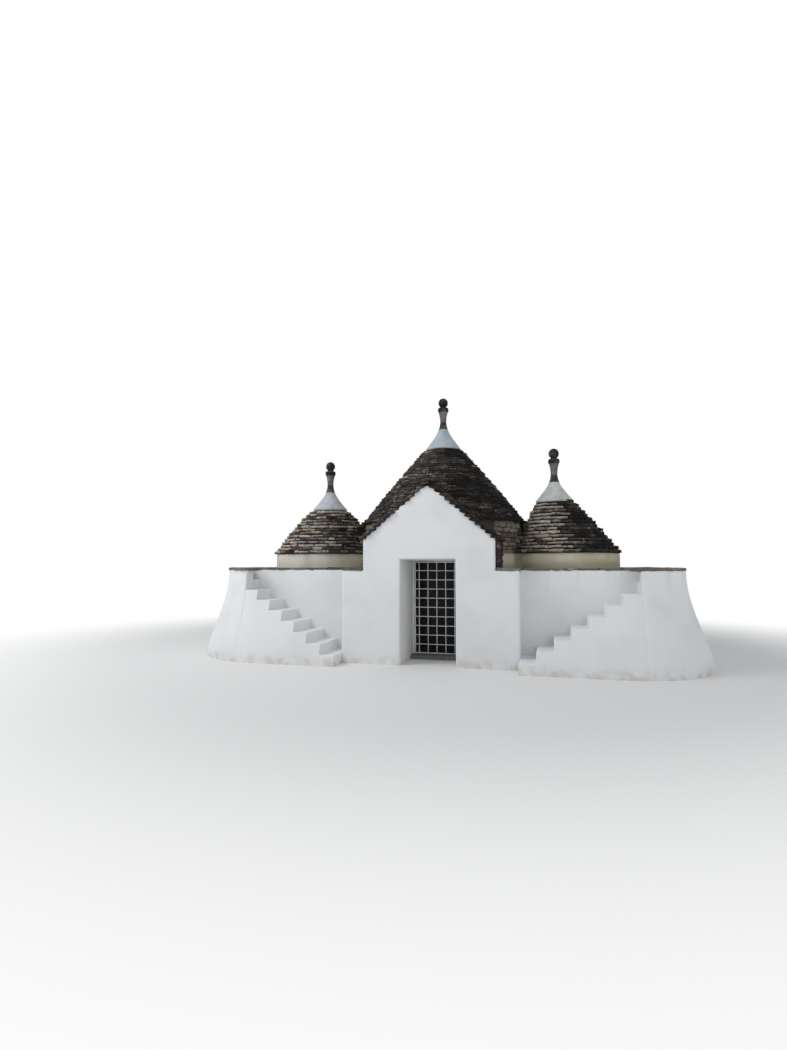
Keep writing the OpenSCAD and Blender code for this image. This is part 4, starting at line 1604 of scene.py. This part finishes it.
@dataclass
class StoneCone:
    """Dry-stone covering of one cone: a ring of slabs on each course of the masonry.

    The first ring stands further out as an eaves course, and the last one lies back under
    the skirt of the cap. The side towards the sun is painted lighter, as painted light with some
    weathering, and the other side darker, as painted shade.
    """

    plan: Plan
    name: str
    drum: Drum
    courses: int
    shape: float
    lean: float
    sizes: tuple[float, float]
    seed: int
    finish: bpy.types.Material
    head_r: float = 0.35
    play: float = 0.007
    play_step: float = 137.5
    proud: float = 0.028
    eaves_out: float = 0.02
    under_cap: float = 0.03
    depth: float = 0.16
    slab: float = 0.80
    joint: float = 0.005
    face_play: float = 0.008
    fall: float = 0.012
    drum_gap: float = 0.02
    sunny_turn: float = 195.0
    sun_start: float = -0.25
    sun_width: float = 0.7
    # Painted light on the sunny side, with some weathering, and painted shade on the other side.
    bleach_and_painted_light: float = 0.12
    soot_and_painted_shade: float = 0.2
    spread: float = 0.17
    # Strength of the painted shade under and behind the stones.
    underside: float = 0.5

    def course_r(self, i: int, foot: float) -> float:
        """Radius of course i of n: head + (foot - head)(1 - i/(n-1))^shape, plus its own play."""
        line = self.head_r + (foot - self.head_r) * (1.0 - i / (self.courses - 1)) ** self.shape
        return line + (self.play * math.sin(math.radians(i * self.play_step)) if i else 0.0)

    def weathered_and_lit_tones(self, turn: np.ndarray) -> np.ndarray:
        """Tones of painted light, with some weathering, on the sunny side and of painted shade on the other.

        Args:
            turn: Angles of the stones round the axis.

        Returns:
            A share that is eased by the cosine of the turn from the sunny side.
        """
        towards = np.cos(turn - math.radians(self.sunny_turn))
        facing = ease((towards - self.sun_start) / self.sun_width)
        # Painted light on the sunny side, partly weathering, and painted shade on the other side.
        return self.bleach_and_painted_light * facing - self.soot_and_painted_shade * (1.0 - facing)

    def clear(self, places: np.ndarray) -> np.ndarray:
        """Whether stones stand clear of the middle drum, which a side cone runs into.

        Args:
            places: Middles of the outer faces in plan, (n, 2).

        Returns:
            Which stones stay.
        """
        p = self.plan
        if self.drum is p.middle:
            return np.ones(len(places), bool)
        away = np.hypot(places[:, 0] - p.middle.x, places[:, 1] - p.middle.y)
        return away > p.middle.r + self.drum_gap

    def make(self) -> None:
        """Lays the rings of slabs on the courses, from the eaves up."""
        node = f"cone_{self.name}"
        base, top = low(node), high(node)
        foot = (top[1] - base[1]) / 2
        rise = (top[2] - base[2]) / self.courses
        bed = StoneBed(self.seed, rounding=(0.025, 0.05, 0.1), shake=(0.004, 0.006, 0.004), cells=(5, 2, 1),
                       tilt=0.025, spread=self.spread, underside=self.underside, uneven=0.2)
        course = Course(self.sizes, self.depth, rise * self.slab, self.joint, self.face_play, self.fall)
        for i in range(self.courses):
            x = self.drum.x + self.lean * i / self.courses
            extra = {0: self.eaves_out, self.courses - 1: -self.under_cap}.get(i, 0.0)
            r = self.course_r(i, foot) + self.proud + extra
            z = base[2] + (i + 1.0 - self.slab) * rise
            bed.ring((x, self.drum.y), r, z, course, keep=self.clear, tone=self.weathered_and_lit_tones)
        bed.make(f"stones_{self.name}", self.finish, "roof_stone")


@dataclass
class BayRoof:
    """Slabs of the bay roof: a straight course on each step of both slopes, and the ridge."""

    plan: Plan
    finish: bpy.types.Material
    courses: int = 14
    course_t: float = 0.062
    tuck: float = 0.45
    lap: float = 0.06
    verge: tuple[float, float] = (0.02, 0.085)
    # Tones of the left and right slopes: the left one is painted lighter, as painted light, and the right
    # one darker, as painted shade.
    tones: tuple[float, float] = (0.12, -0.28)
    sizes: tuple[float, float] = (0.2, 0.42)
    proud: float = 0.012
    bedded: float = 0.004
    cover: float = 1.6
    fullness: float = 1.15
    fall: float = 0.024
    rear_limit: float = 0.6
    into_cone: float = 0.12
    ridge_x: float = 0.085
    ridge_verge: float = 0.03
    ridge_sizes: tuple[float, float] = (0.16, 0.3)
    ridge_depth: float = 0.12
    ridge_t: float = 0.036
    ridge_bedded: float = 0.022
    ridge_fall: float = 0.012
    ridge_into_cone: float = 0.1
    cone_head_r: float = 0.35
    cone_shape: float = 0.95
    cone_eaves: float = 0.05

    def cone_y(self, x: float, z: float) -> float:
        """Y of the front of the middle drum or cone, where a course ends.

        The cone's radius is head + (foot - head)(1 - share)^shape, with share the height up it.

        Args:
            x: Place of the course across the bay.
            z: Its height.

        Returns:
            Y of the meeting.
        """
        p = self.plan
        top, foot = high("cone_middle")[2], p.middle.r + self.cone_eaves
        share = np.clip((z - p.middle.top) / (top - p.middle.top), 0.0, 1.0)
        r = self.cone_head_r + (foot - self.cone_head_r) * (1.0 - share) ** self.cone_shape
        return p.middle.y - math.sqrt(max(r * r - (x - p.middle.x) ** 2, 0.0))

    def make(self) -> None:
        """Lays the courses from the eaves up to the ridge."""
        p = self.plan
        slope = math.radians(p.gable_slope)
        ridge_z = p.bay_top - p.gable_r + p.gable_r / math.cos(slope)
        step = (p.bay_half + self.lap) / self.courses
        lift = self.course_t / math.cos(slope)
        face = lift * (1.0 - self.tuck)
        bed = StoneBed(71, rounding=(0.03, 0.04, 0.1), shake=(0.006, 0.009, 0.003), spread=0.1)
        slabs = Course(self.sizes, step * self.cover, face * self.fullness, joint=0.005, drop=self.fall)
        # Each slope takes its tone of painted light or painted shade.
        for side, tone in zip(Side, self.tones):
            for i in range(self.courses, 0, -1):
                x = side.value * (i * step + self.proud)
                z = ridge_z - i * step * math.tan(slope) + lift * self.tuck
                front = p.bay_y - bed.rng.uniform(*self.verge)
                back = min(self.cone_y(abs(x), z), p.middle.y - self.rear_limit) + self.into_cone
                bed.row((x, front), (x, back), (side.value, 0.0), z - self.bedded, slabs, tone)
        top = ridge_z + lift * self.tuck
        front, back = p.bay_y - self.ridge_verge, self.cone_y(0.0, top) + self.ridge_into_cone
        slabs = Course(self.ridge_sizes, self.ridge_depth, self.ridge_t, drop=self.ridge_fall)
        for side, tone in zip(Side, self.tones):
            x = side.value * self.ridge_x
            bed.row((x, front), (x, back), (side.value, 0.0), top - self.ridge_bedded, slabs, tone)
        bed.make("stones_bay_roof", self.finish, "roof_stone")


@dataclass
class DrumFaces:
    """What shows of the drums: beige render up to the low roofs and rubble above it."""

    plan: Plan
    render: bpy.types.Material
    rubble: bpy.types.Material
    mortar: bpy.types.Material
    coat: float = 0.008
    bulge: float = 0.008
    wave: float = 0.35
    lip: float = 0.012
    lip_h: float = 0.02
    leaf: float = 0.04
    rows: int = 16
    spacing: float = 0.03
    hidden_lap: float = 2.0
    middle_bands: tuple[tuple[str, float, float], ...] = (
        ("rear", 20.0, 160.0),
        ("front_right", -50.0, -10.0),
        ("front_left", 190.0, 232.0),
    )
    stone_out: float = 0.03
    stone_depth: float = 0.12
    sizes: tuple[float, float] = (0.12, 0.3)
    heights: tuple[float, float] = (0.06, 0.1)
    bay_lap: float = 0.1
    bedding: float = 0.004
    bedding_wave: float = 0.2
    bedding_grid: tuple[int, int] = (240, 7)

    @staticmethod
    def around(drum: Drum, turn: np.ndarray, z: np.ndarray) -> tuple[np.ndarray, np.ndarray]:
        """Grid round a drum, on which a place is axis + outward direction times radius.

        Args:
            drum: The drum.
            turn: Angles in radians.
            z: Heights.

        Returns:
            Places on the axis, (1, heights, 3), and directions, (angles, heights, 3).
        """
        turn = turn[:, None]
        out = np.dstack(np.broadcast_arrays(np.cos(turn), np.sin(turn), 0 * z))
        axis = np.array((drum.x, drum.y, 0.0)) + np.array((0.0, 0.0, 1.0)) * z[None, :, None]
        return axis, out

    def band(self, name: str, drum: Drum, top: float, start: float, end: float) -> None:
        """Adds a curved coat on a drum, with an uneven face and a top edge that draws in.

        Args:
            name: Name of the piece after its first word.
            drum: The drum.
            top: Height of the band's top.
            start: First angle in degrees.
            end: Last angle in degrees.
        """
        count = max(8, int(math.radians(end - start) * drum.r / self.spacing))
        z = np.linspace(drum.bottom, top, self.rows)
        axis, out = self.around(drum, np.radians(np.linspace(start, end, count)), z)
        front = axis + out * (drum.r + self.coat)
        front += out * (self.bulge * (rough_noise(front, self.wave, 83) * 0.5 + 0.5))[..., None]
        front -= out * (self.lip * ease((z - top + self.lip_h) / self.lip_h))[None, :, None]
        back = axis + out * (drum.r - self.leaf)
        section = np.concatenate([front, back[:, ::-1]], axis=1)
        add_piece(f"band_{name}", section, self.render)

    def make(self) -> None:
        """Adds the bands, then the rubble of the middle drum on its bedding."""
        p = self.plan
        top = p.right.top
        for side, drum, facing in ((Side.RIGHT, p.right, 0.0), (Side.LEFT, p.left, 180.0)):
            gap = abs(drum.x - p.middle.x)
            hidden = math.degrees(math.acos((gap * gap + drum.r**2 - p.middle.r**2) / (2 * gap * drum.r)))
            reach = 180.0 - hidden + self.hidden_lap
            self.band(side.word, drum, top, facing - reach, facing + reach)
        for name, start, end in self.middle_bands:
            self.band(name, p.middle, top, start, end)
        bed = StoneBed(91, rounding=(0.05, 0.08, 0.08), shake=(0.007, 0.005, 0.005), spread=0.22)
        for z, height in bed.courses(top, p.middle.top, self.heights):
            course = Course(self.sizes, self.stone_depth, height, joint=0.009, proud=0.005)
            bed.ring((p.middle.x, p.middle.y), p.middle.r + self.stone_out, z, course, keep=self.beside_bay)
        bed.make("stones_drum", self.rubble, "pale_stone")
        self.mortar_ring(top)

    def mortar_ring(self, bottom: float) -> None:
        """Adds the dark bedding behind the rubble: a thin rough tube round the whole drum.

        Args:
            bottom: Height of its lower edge.
        """
        drum = self.plan.middle
        turns, heights = self.bedding_grid
        turn = np.linspace(0.0, math.tau, turns, endpoint=False)
        axis, out = self.around(drum, turn, np.linspace(bottom, drum.top - self.bedding, heights))
        front = axis + out * (drum.r + self.bedding)
        front += out * (self.bedding * (rough_noise(front, self.bedding_wave, 89) * 0.5 + 0.5))[..., None]
        section = np.concatenate([front, (axis + out * (drum.r - self.leaf))[:, ::-1]], axis=1)
        faces = [grid_faces(*section.shape[:2], ring_rows=True, ring_cols=True)]
        add_piece("mortar_drum", section, self.mortar, faces=faces)

    def beside_bay(self, places: np.ndarray) -> np.ndarray:
        """Whether a stone stands outside the bay, which covers the front of the drum."""
        p = self.plan
        return ~((np.abs(places[:, 0]) < p.bay_half - self.bay_lap) & (places[:, 1] < p.middle.y))


@dataclass
class Valley:
    """Small heaps of stones that close the valleys between the middle drum and the side cones.

    Each course has stones towards the front and the rear, and the heap draws in as it rises.
    """

    plan: Plan
    finish: bpy.types.Material
    half_w: float = 0.17
    foot: float = 0.55
    head: float = 0.26
    out: float = 0.02
    over: float = 0.03
    sizes: tuple[float, float] = (0.1, 0.2)
    heights: tuple[float, float] = (0.06, 0.1)
    pale_foot: float = 0.3
    dark_head: float = 0.25

    def make(self) -> None:
        """Lays both heaps from the tops of the side drums up to the eaves of the middle cone."""
        p = self.plan
        bottom, top = p.right.top, p.middle.top + self.over
        bed = StoneBed(173, rounding=(0.05, 0.06, 0.08), shake=(0.008, 0.01, 0.005), spread=0.14)
        for side in Side:
            x = p.middle.x + side.value * (p.middle.r + self.out)
            for z, height in bed.courses(bottom, top, self.heights):
                share = (z - bottom) / (top - bottom)
                reach = self.foot + (self.head - self.foot) * share
                tone = self.pale_foot - (self.pale_foot + self.dark_head) * share
                course = Course(self.sizes, reach, height, joint=0.007, proud=0.02)
                for way in (-1.0, 1.0):
                    ends = [(x + shift, way * reach) for shift in (-self.half_w, self.half_w)]
                    bed.row(*ends, (0.0, way), z, course, tone)
        bed.make("stones_valleys", self.finish, "roof_stone")


@dataclass
class BaySides:
    """Rough stones on the sides of the bay, between the low walls and its roof."""

    plan: Plan
    finish: bpy.types.Material
    mortar: bpy.types.Material
    stone_out: float = 0.028
    stone_depth: float = 0.08
    front_gap: float = 0.05
    inner_y: float = -0.85
    sizes: tuple[float, float] = (0.14, 0.32)
    heights: tuple[float, float] = (0.05, 0.085)
    bedding: float = 0.004
    bedding_back: float = 0.03
    bedding_front: float = 0.045
    bedding_wave: float = 0.15
    bedding_grid: tuple[int, int] = (60, 12)

    def make(self) -> None:
        """Lays courses along both sides of the bay, on a thin bed of dark mortar."""
        p = self.plan
        eave = float(p.slope_z(np.array(p.bay_half)))
        bed = StoneBed(101, rounding=(0.05, 0.06, 0.08), shake=(0.006, 0.005, 0.004), spread=0.16)
        for side in Side:
            x = side.value * (p.bay_half + self.stone_out)
            for z, height in bed.courses(p.ledge + self.bedding, eave, self.heights):
                course = Course(self.sizes, self.stone_depth, height, proud=0.005)
                bed.row((x, p.bay_y + self.front_gap), (x, self.inner_y), (side.value, 0.0), z, course)
            self.mortar_sheet(side, p.ledge, eave)
        bed.make("stones_bay_sides", self.finish, "roof_stone")

    def mortar_sheet(self, side: Side, bottom: float, top: float) -> None:
        """Adds the bedding behind the stones of one side: a thin sheet with a rough face.

        Args:
            side: Side of the bay.
            bottom: Height of its lower edge.
            top: Height of its upper edge.
        """
        p = self.plan
        y = np.linspace(p.bay_y + self.bedding_front, self.inner_y, self.bedding_grid[0])[:, None]
        z = np.linspace(bottom, top, self.bedding_grid[1])
        face = np.dstack(np.broadcast_arrays(side.value * (p.bay_half + self.bedding), y, z))
        waves = rough_noise(face, self.bedding_wave, 103) * 0.5 + 0.5
        face[..., 0] += side.value * self.bedding * waves
        back = face.copy()
        back[..., 0] = side.value * (p.bay_half - self.bedding_back)
        section = np.concatenate([face, back[:, ::-1]], axis=1)
        add_piece(f"mortar_bay_{side.word}", section, self.mortar)


@dataclass
class Coping:
    """Thin slabs along the tops of the low walls."""

    plan: Plan
    finish: bpy.types.Material
    width: float = 0.32
    thick: float = 0.05
    sizes: tuple[float, float] = (0.34, 0.58)
    joint: float = 0.007
    proud: float = 0.005
    bay_gap: float = 0.01
    corner_gap: float = 0.006
    seed: int = 113
    front_seed: int = 127

    def bed(self, seed: int) -> StoneBed:
        """Starts a bed of thin slabs."""
        return StoneBed(seed, rounding=(0.03, 0.03, 0.06), shake=(0.004, 0.007, 0.003), cells=(5, 3, 1))

    def course(self) -> Course:
        """How every course of slabs is cut and laid."""
        return Course(self.sizes, self.width, self.thick, self.joint, self.proud)

    def make(self) -> None:
        """Lays the slabs round the ends and the rear, and along the front on both sides."""
        p = self.plan
        r = p.head_r + p.coping_lap
        bed, slabs = self.bed(self.seed), self.course()
        begin = math.asin((p.stair_end - p.corner_x) / r)
        fronts = {Side.RIGHT: (begin - math.pi / 2, 0.0), Side.LEFT: (math.pi, 1.5 * math.pi - begin)}
        rears = {Side.RIGHT: (0.0, math.pi / 2), Side.LEFT: (math.pi / 2, math.pi)}
        for side in Side:
            x = side.value * p.corner_x
            bed.ring((x, -p.corner_y), r, p.ledge, slabs, fronts[side])
            bed.ring((x, p.corner_y), r, p.ledge, slabs, rears[side])
            end_x = side.value * (p.corner_x + r)
            bed.row((end_x, -p.corner_y), (end_x, p.corner_y), (side.value, 0.0), p.ledge, slabs)
        rear_y = p.corner_y + r
        bed.row((p.corner_x, rear_y), (-p.corner_x, rear_y), (0.0, 1.0), p.ledge, slabs)
        nodes = ("coping_end_left", "coping_end_right", "coping_rear")
        bed.make("coping_walls", self.finish, "roof_stone", nodes)
        for side in Side:
            self.front(side)

    def front(self, side: Side) -> None:
        """Lays the slabs beside the bay and along the wall behind the flight.

        Args:
            side: Side of the house.
        """
        p = self.plan
        s, lap = side.value, p.coping_lap
        bed, slabs = self.bed(self.front_seed + s), self.course()
        edge = p.stair_start + lap
        end = p.stair_end + (p.stair_end - p.stair_start) / p.step_count
        near_y, far_y = p.bay_y - lap, p.stair_y - lap
        near_x, far_x = p.bay_half + self.bay_gap, edge + self.corner_gap
        bed.row((s * near_x, near_y), (s * edge, near_y), (0.0, -1.0), p.ledge, slabs)
        bed.row((s * edge, near_y + self.width), (s * edge, far_y + self.width), (s, 0.0), p.ledge, slabs)
        bed.row((s * far_x, far_y), (s * end, far_y), (0.0, -1.0), p.ledge, slabs)
        node = f"coping_front_{side.word}"
        bed.make(f"{node}_slabs", self.finish, "roof_stone", (node,))


def lathe(x: float, y: float, profile: np.ndarray, steps: int) -> tuple[np.ndarray, list[np.ndarray]]:
    """Turned solid: a profile of radius and height goes round an axis, with a point at each end.

    Args:
        x: X of the axis.
        y: Y of the axis.
        profile: Radius and height of each ring, (n, 2); the first and last ones lie on the axis.
        steps: Points in a ring.

    Returns:
        Points and groups of faces.
    """
    turn = np.linspace(0.0, math.tau, steps, endpoint=False)
    rings = profile[1:-1]
    circle = np.stack([np.cos(turn), np.sin(turn)], axis=1)
    flat = rings[:, None, :1] * circle[None] + (x, y)
    body = np.dstack([flat, np.broadcast_to(rings[:, 1:], flat.shape[:2])]).reshape(-1, 3)
    ends = np.array([(x, y, profile[0, 1]), (x, y, profile[-1, 1])])
    j = np.arange(steps)
    last = (len(rings) - 1) * steps
    first_fan = np.stack([np.full(steps, len(body)), (j + 1) % steps, j], axis=1)
    last_fan = np.stack([np.full(steps, len(body) + 1), last + j, last + (j + 1) % steps], axis=1)
    quads = grid_faces(len(rings), steps, ring_cols=True)[:, ::-1]
    return np.concatenate([body, ends]), [quads, np.concatenate([first_fan, last_fan])]


@dataclass
class Crown:
    """Plaster cap and stone pinnacle on top of one cone."""

    name: str
    stone: bpy.types.Material
    # Colour of the cap's plaster, which holds painted shade.
    plaster: Colour
    skirt: float = 0.05
    skirt_out: float = 0.036
    lip: float = 0.045
    lip_line: tuple[tuple[float, float], ...] = ((0.02, 0.0), (0.004, 0.01), (0.0, 0.024))
    cap_shape: float = 1.25
    cap_rows: int = 26
    cap_spacing: float = 0.012
    cap_turns: int = 72
    cap_dent: float = 0.012
    head_in: float = 0.03
    foot_r: float = 0.106
    waist_r: float = 0.068
    disc_r: float = 0.116
    ball_r: float = 0.104
    disc_z: float = 0.375
    disc_t: float = 0.092
    disc_line: tuple[tuple[float, float], ...] = ((1.0, 0.22), (1.03, 0.5), (1.0, 0.8), (0.88, 1.0))
    under_disc: float = 0.86
    waist_share: float = 0.47
    stem_rows: int = 12
    neck_share: float = 0.6
    neck_gap: float = 0.004
    ball_start: float = -0.93
    ball_rows: int = 22
    stone_spacing: float = 0.011
    stone_turns: int = 56
    stone_dent: float = 0.09
    foot_tone: float = 0.22
    stem_tone: float = 0.64
    head_tone: float = 0.06
    tone_play: float = 0.12
    foot_hue: float = 0.3

    @staticmethod
    def level_way(points: np.ndarray, x: float, y: float) -> np.ndarray:
        """Level way from an upright axis to each point, (n, 3)."""
        return (points - (x, y, 0.0)) * (1.0, 1.0, 0.0)

    def cap(self) -> None:
        """Turns the cap: a soft skirt over the last ring of stones, then a flare up to the pinnacle.

        Its radius is foot + (r - foot)(1 - t)^shape over the height, and shallow dents, which
        run out near the axis, draw the surface in.
        """
        node = f"cap_{self.name}"
        base, top = low(node), high(node)
        base[2] -= self.skirt
        x, y = (base[:2] + top[:2]) / 2
        r, h = (top[0] - base[0]) / 2 + self.skirt_out, top[2] - base[2]
        t = np.linspace(0.0, 1.0, self.cap_rows)
        radii = self.foot_r + (r - self.foot_r) * (1 - t) ** self.cap_shape
        flare = np.stack([radii, self.lip + (h - self.lip) * t], axis=1)
        edge = [(r - inset, z) for inset, z in self.lip_line]
        line = np.concatenate([[(0.0, 0.0)], edge, flare, [(self.foot_r - self.head_in, h), (0.0, h)]])
        points, faces = lathe(x, y, resample(line, self.cap_spacing) + (0.0, base[2]), self.cap_turns)
        away = self.level_way(points, x, y)
        reach = np.linalg.norm(away, axis=1, keepdims=True)
        waves = rough_noise(points, 0.12, 131) * 0.5 - 0.5
        dent = self.cap_dent * waves * np.minimum(reach[:, 0] / 0.1, 1)
        points += away / np.maximum(reach, 0.01) * dent[:, None]
        finish = PlasterCap(f"cap_plaster_{self.name}", self.plaster, float(base[2])).make()
        add_piece(f"cap_{self.name}_plaster", points, finish, (node,), faces, crease=60.0)

    def outline(self, height: float) -> np.ndarray:
        """Radius and height along the pinnacle: stem, disc, neck and ball.

        The stem's radius is waist + (end - waist) t^2 both ways from its waist.

        Args:
            height: Height of the whole pinnacle.

        Returns:
            The profile, (n, 2), from its foot on the axis to its top on the axis.
        """
        waist = self.disc_z * self.waist_share
        t = np.linspace(0.0, 1.0, self.stem_rows)
        lower = self.waist_r + (self.foot_r - self.waist_r) * (1 - t) ** 2
        upper = self.waist_r + (self.disc_r * self.under_disc - self.waist_r) * t**2
        disc = np.array(self.disc_line) * (self.disc_r, self.disc_t) + (0.0, self.disc_z)
        disc[:, 0] = np.minimum(disc[:, 0], self.disc_r)
        ball_z = height - self.ball_r
        turn = np.linspace(self.ball_start, np.pi / 2, self.ball_rows)
        line = np.concatenate([
            [(0.0, 0.0)],
            np.stack([lower, waist * t], axis=1),
            np.stack([upper, waist + (self.disc_z - waist) * t], axis=1)[1:],
            disc,
            [(self.neck_share * self.ball_r, self.disc_z + self.disc_t + self.neck_gap)],
            np.stack([self.ball_r * np.cos(turn), ball_z + self.ball_r * np.sin(turn)], axis=1),
        ])
        line[-1, 0] = 0.0
        return resample(line, self.stone_spacing)

    def pinnacle(self) -> None:
        """Turns the pinnacle: a waisted stem, a disc with worn edges, and a ball on a neck."""
        node = f"pinnacle_{self.name}"
        base, top = low(node), high(node)
        x, y = (base[:2] + top[:2]) / 2
        profile = self.outline(top[2] - base[2]) + (0.0, base[2])
        profile[-1] = (0.0, top[2])
        points, faces = lathe(x, y, profile, self.stone_turns)
        waves = rough_noise(points, 0.07, 137) * 0.5 - 0.5
        points += self.level_way(points, x, y) * (self.stone_dent * waves)[:, None]
        up = points[:, 2] - base[2]
        waist = self.disc_z * self.waist_share
        stem = self.foot_tone + (self.stem_tone - self.foot_tone) * ease((up - waist + 0.05) / 0.06)
        tone = stem + (self.head_tone - stem) * ease((up - self.disc_z + 0.01) / 0.02)
        tone = np.clip(tone + self.tone_play * rough_noise(points, 0.08, 139), 0.0, 1.0)
        hue = 0.5 + (self.foot_hue - 0.5) * (1.0 - ease((up - waist) / 0.1))
        values = {"tone": tone, "hue": hue}
        add_piece(f"pinnacle_{self.name}_stone", points, self.stone, (node,), faces, values,
                  crease=55.0)


@dataclass
class CadFinish:
    """Gives the CAD nodes that stay in view their materials and worn edges."""

    limewash: bpy.types.Material
    dome: bpy.types.Material
    backing: bpy.types.Material
    floor: bpy.types.Material
    sill: bpy.types.Material
    iron: bpy.types.Material
    glass: bpy.types.Material
    worn: tuple[tuple[str, float], ...] = (
        ("door_frame", 0.004),
        ("door_leaf", 0.0025),
        ("threshold", 0.008),
    )
    merge: float = 0.0002
    edge_angle: float = 40.0

    def pick(self, name: str) -> bpy.types.Material:
        """Chooses the material of a node by the first of these words that its name holds.

        Args:
            name: Name of the node.

        Returns:
            The material, which is limewash where no word fits.
        """
        rules = (
            (self.glass, ("door_glass",)),
            (self.iron, ("door",)),
            (self.floor, ("floor",)),
            (self.sill, ("threshold",)),
            (self.dome, ("dome", "arch", "drum_middle", "pinnacle")),
            (self.backing, ("cone", "bay_roof", "coping")),
        )
        fitting = (finish for finish, words in rules if any(word in name for word in words))
        return next(fitting, self.limewash)

    def make(self) -> None:
        """Dresses each node, and wears the edges of the door's iron and of the threshold."""
        for name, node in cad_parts.items():
            finish = self.pick(name)
            if not node.material_slots:
                node.data.materials.append(finish)
            for slot in node.material_slots:
                slot.link = "OBJECT"
                slot.material = finish
        for name, width in self.worn:
            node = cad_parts[name]
            weld = node.modifiers.new("weld", "WELD")
            weld.merge_threshold = self.merge
            bevel = node.modifiers.new("worn_edges", "BEVEL")
            bevel.width = width
            bevel.segments = 2
            bevel.limit_method = "ANGLE"
            bevel.angle_limit = math.radians(self.edge_angle)


def write_sizes() -> None:
    boxes = {"cad": CAD_BOX, "visual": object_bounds()}
    {name: [list(map(float, corner)) for corner in box] for name, box in boxes.items()}


def main() -> None:
    """Builds the studio, the finishes and every piece, in order."""
    logging.basicConfig(level=logging.INFO, format="%(message)s")
    Studio().make()
    plan = Plan.read()
    limewash = Limewash(bay_half=plan.bay_half, bay_y=plan.bay_y).make()
    render = BandRender().make()
    roof = FieldStone("cone_stone", (0.013, 0.012, 0.013), (0.062, 0.054, 0.051), (0.55, 0.51, 0.44)).make()
    mortar = FieldStone("dark_mortar", (0.03, 0.026, 0.022), (0.06, 0.052, 0.044), (0.11, 0.095, 0.08),
                        lichen_share=0.1, whole=True).make()
    coping = FieldStone("coping_stone", (0.07, 0.065, 0.06), (0.16, 0.15, 0.135), (0.30, 0.28, 0.25)).make()
    rubble = FieldStone("rubble_stone", (0.10, 0.085, 0.072), (0.23, 0.20, 0.165), (0.45, 0.41, 0.34)).make()
    pinnacle = FieldStone("pinnacle_stone", (0.018, 0.018, 0.020), (0.12, 0.115, 0.12), (0.37, 0.355, 0.355),
                          lichen_share=0.15, rust_share=0.1, streak=1.0).make()
    dome = FieldStone("dome_stone", (0.25, 0.22, 0.18), (0.36, 0.33, 0.27), (0.48, 0.44, 0.37),
                      whole=True).make()
    backing = FieldStone("roof_backing", (0.014, 0.012, 0.011), (0.028, 0.025, 0.022), (0.05, 0.044, 0.038),
                         lichen_share=0.1, whole=True).make()
    sill = FieldStone("sill_stone", (0.10, 0.10, 0.10), (0.19, 0.19, 0.185), (0.33, 0.32, 0.30),
                      lichen_share=0.1, rust_share=0.1, whole=True).make()
    CadFinish(limewash, dome, backing, Floor().make(), sill, PaintedIron().make(), DarkGlass().make()).make()
    WallCoat(plan, limewash).make()
    for side in Side:
        Flight(plan, side, limewash).make()
        FlightWall(plan, side, limewash).make()
    GableCoat(plan, limewash).make()
    Terrace(plan, TerraceLime().make()).make()
    DrumFaces(plan, render, rubble, mortar).make()
    Valley(plan, roof).make()
    BaySides(plan, roof, mortar).make()
    BayRoof(plan, roof).make()
    Coping(plan, coping).make()
    lean = (low("cap_right")[0] + high("cap_right")[0]) / 2 - plan.right.x
    # Each cone's painted light on its sunny side, partly weathering, and painted shade on the other side are
    # set here; the left cone is painted lighter on both sides.
    StoneCone(plan, "middle", plan.middle, 30, 0.95, 0.0, (0.16, 0.38), 151, roof, soot_and_painted_shade=0.3,
              spread=0.2).make()
    StoneCone(plan, "right", plan.right, 15, 0.95, lean, (0.13, 0.32), 157, roof, play=0.012, bleach_and_painted_light=0.66,
              soot_and_painted_shade=0.4, spread=0.24, under_cap=0.055).make()
    StoneCone(plan, "left", plan.left, 15, 0.82, 0.0, (0.13, 0.32), 163, roof, play=0.012, bleach_and_painted_light=0.5,
              soot_and_painted_shade=-0.36, spread=0.24, underside=0.42, under_cap=0.055).make()
    # The caps' plaster colours are greyer than the walls' white, and bluish on the middle and left caps, as
    # painted shade.
    caps = (("middle", (0.43, 0.505, 0.56), 0.3), ("left", (0.50, 0.51, 0.55), 0.4),
            ("right", (0.56, 0.58, 0.555), 1.0))
    for name, plaster, foot_hue in caps:
        crown = Crown(name, pinnacle, plaster, foot_hue=foot_hue)
        crown.cap()
        crown.pinnacle()
    write_sizes()


if __name__ == "__main__":
    main()
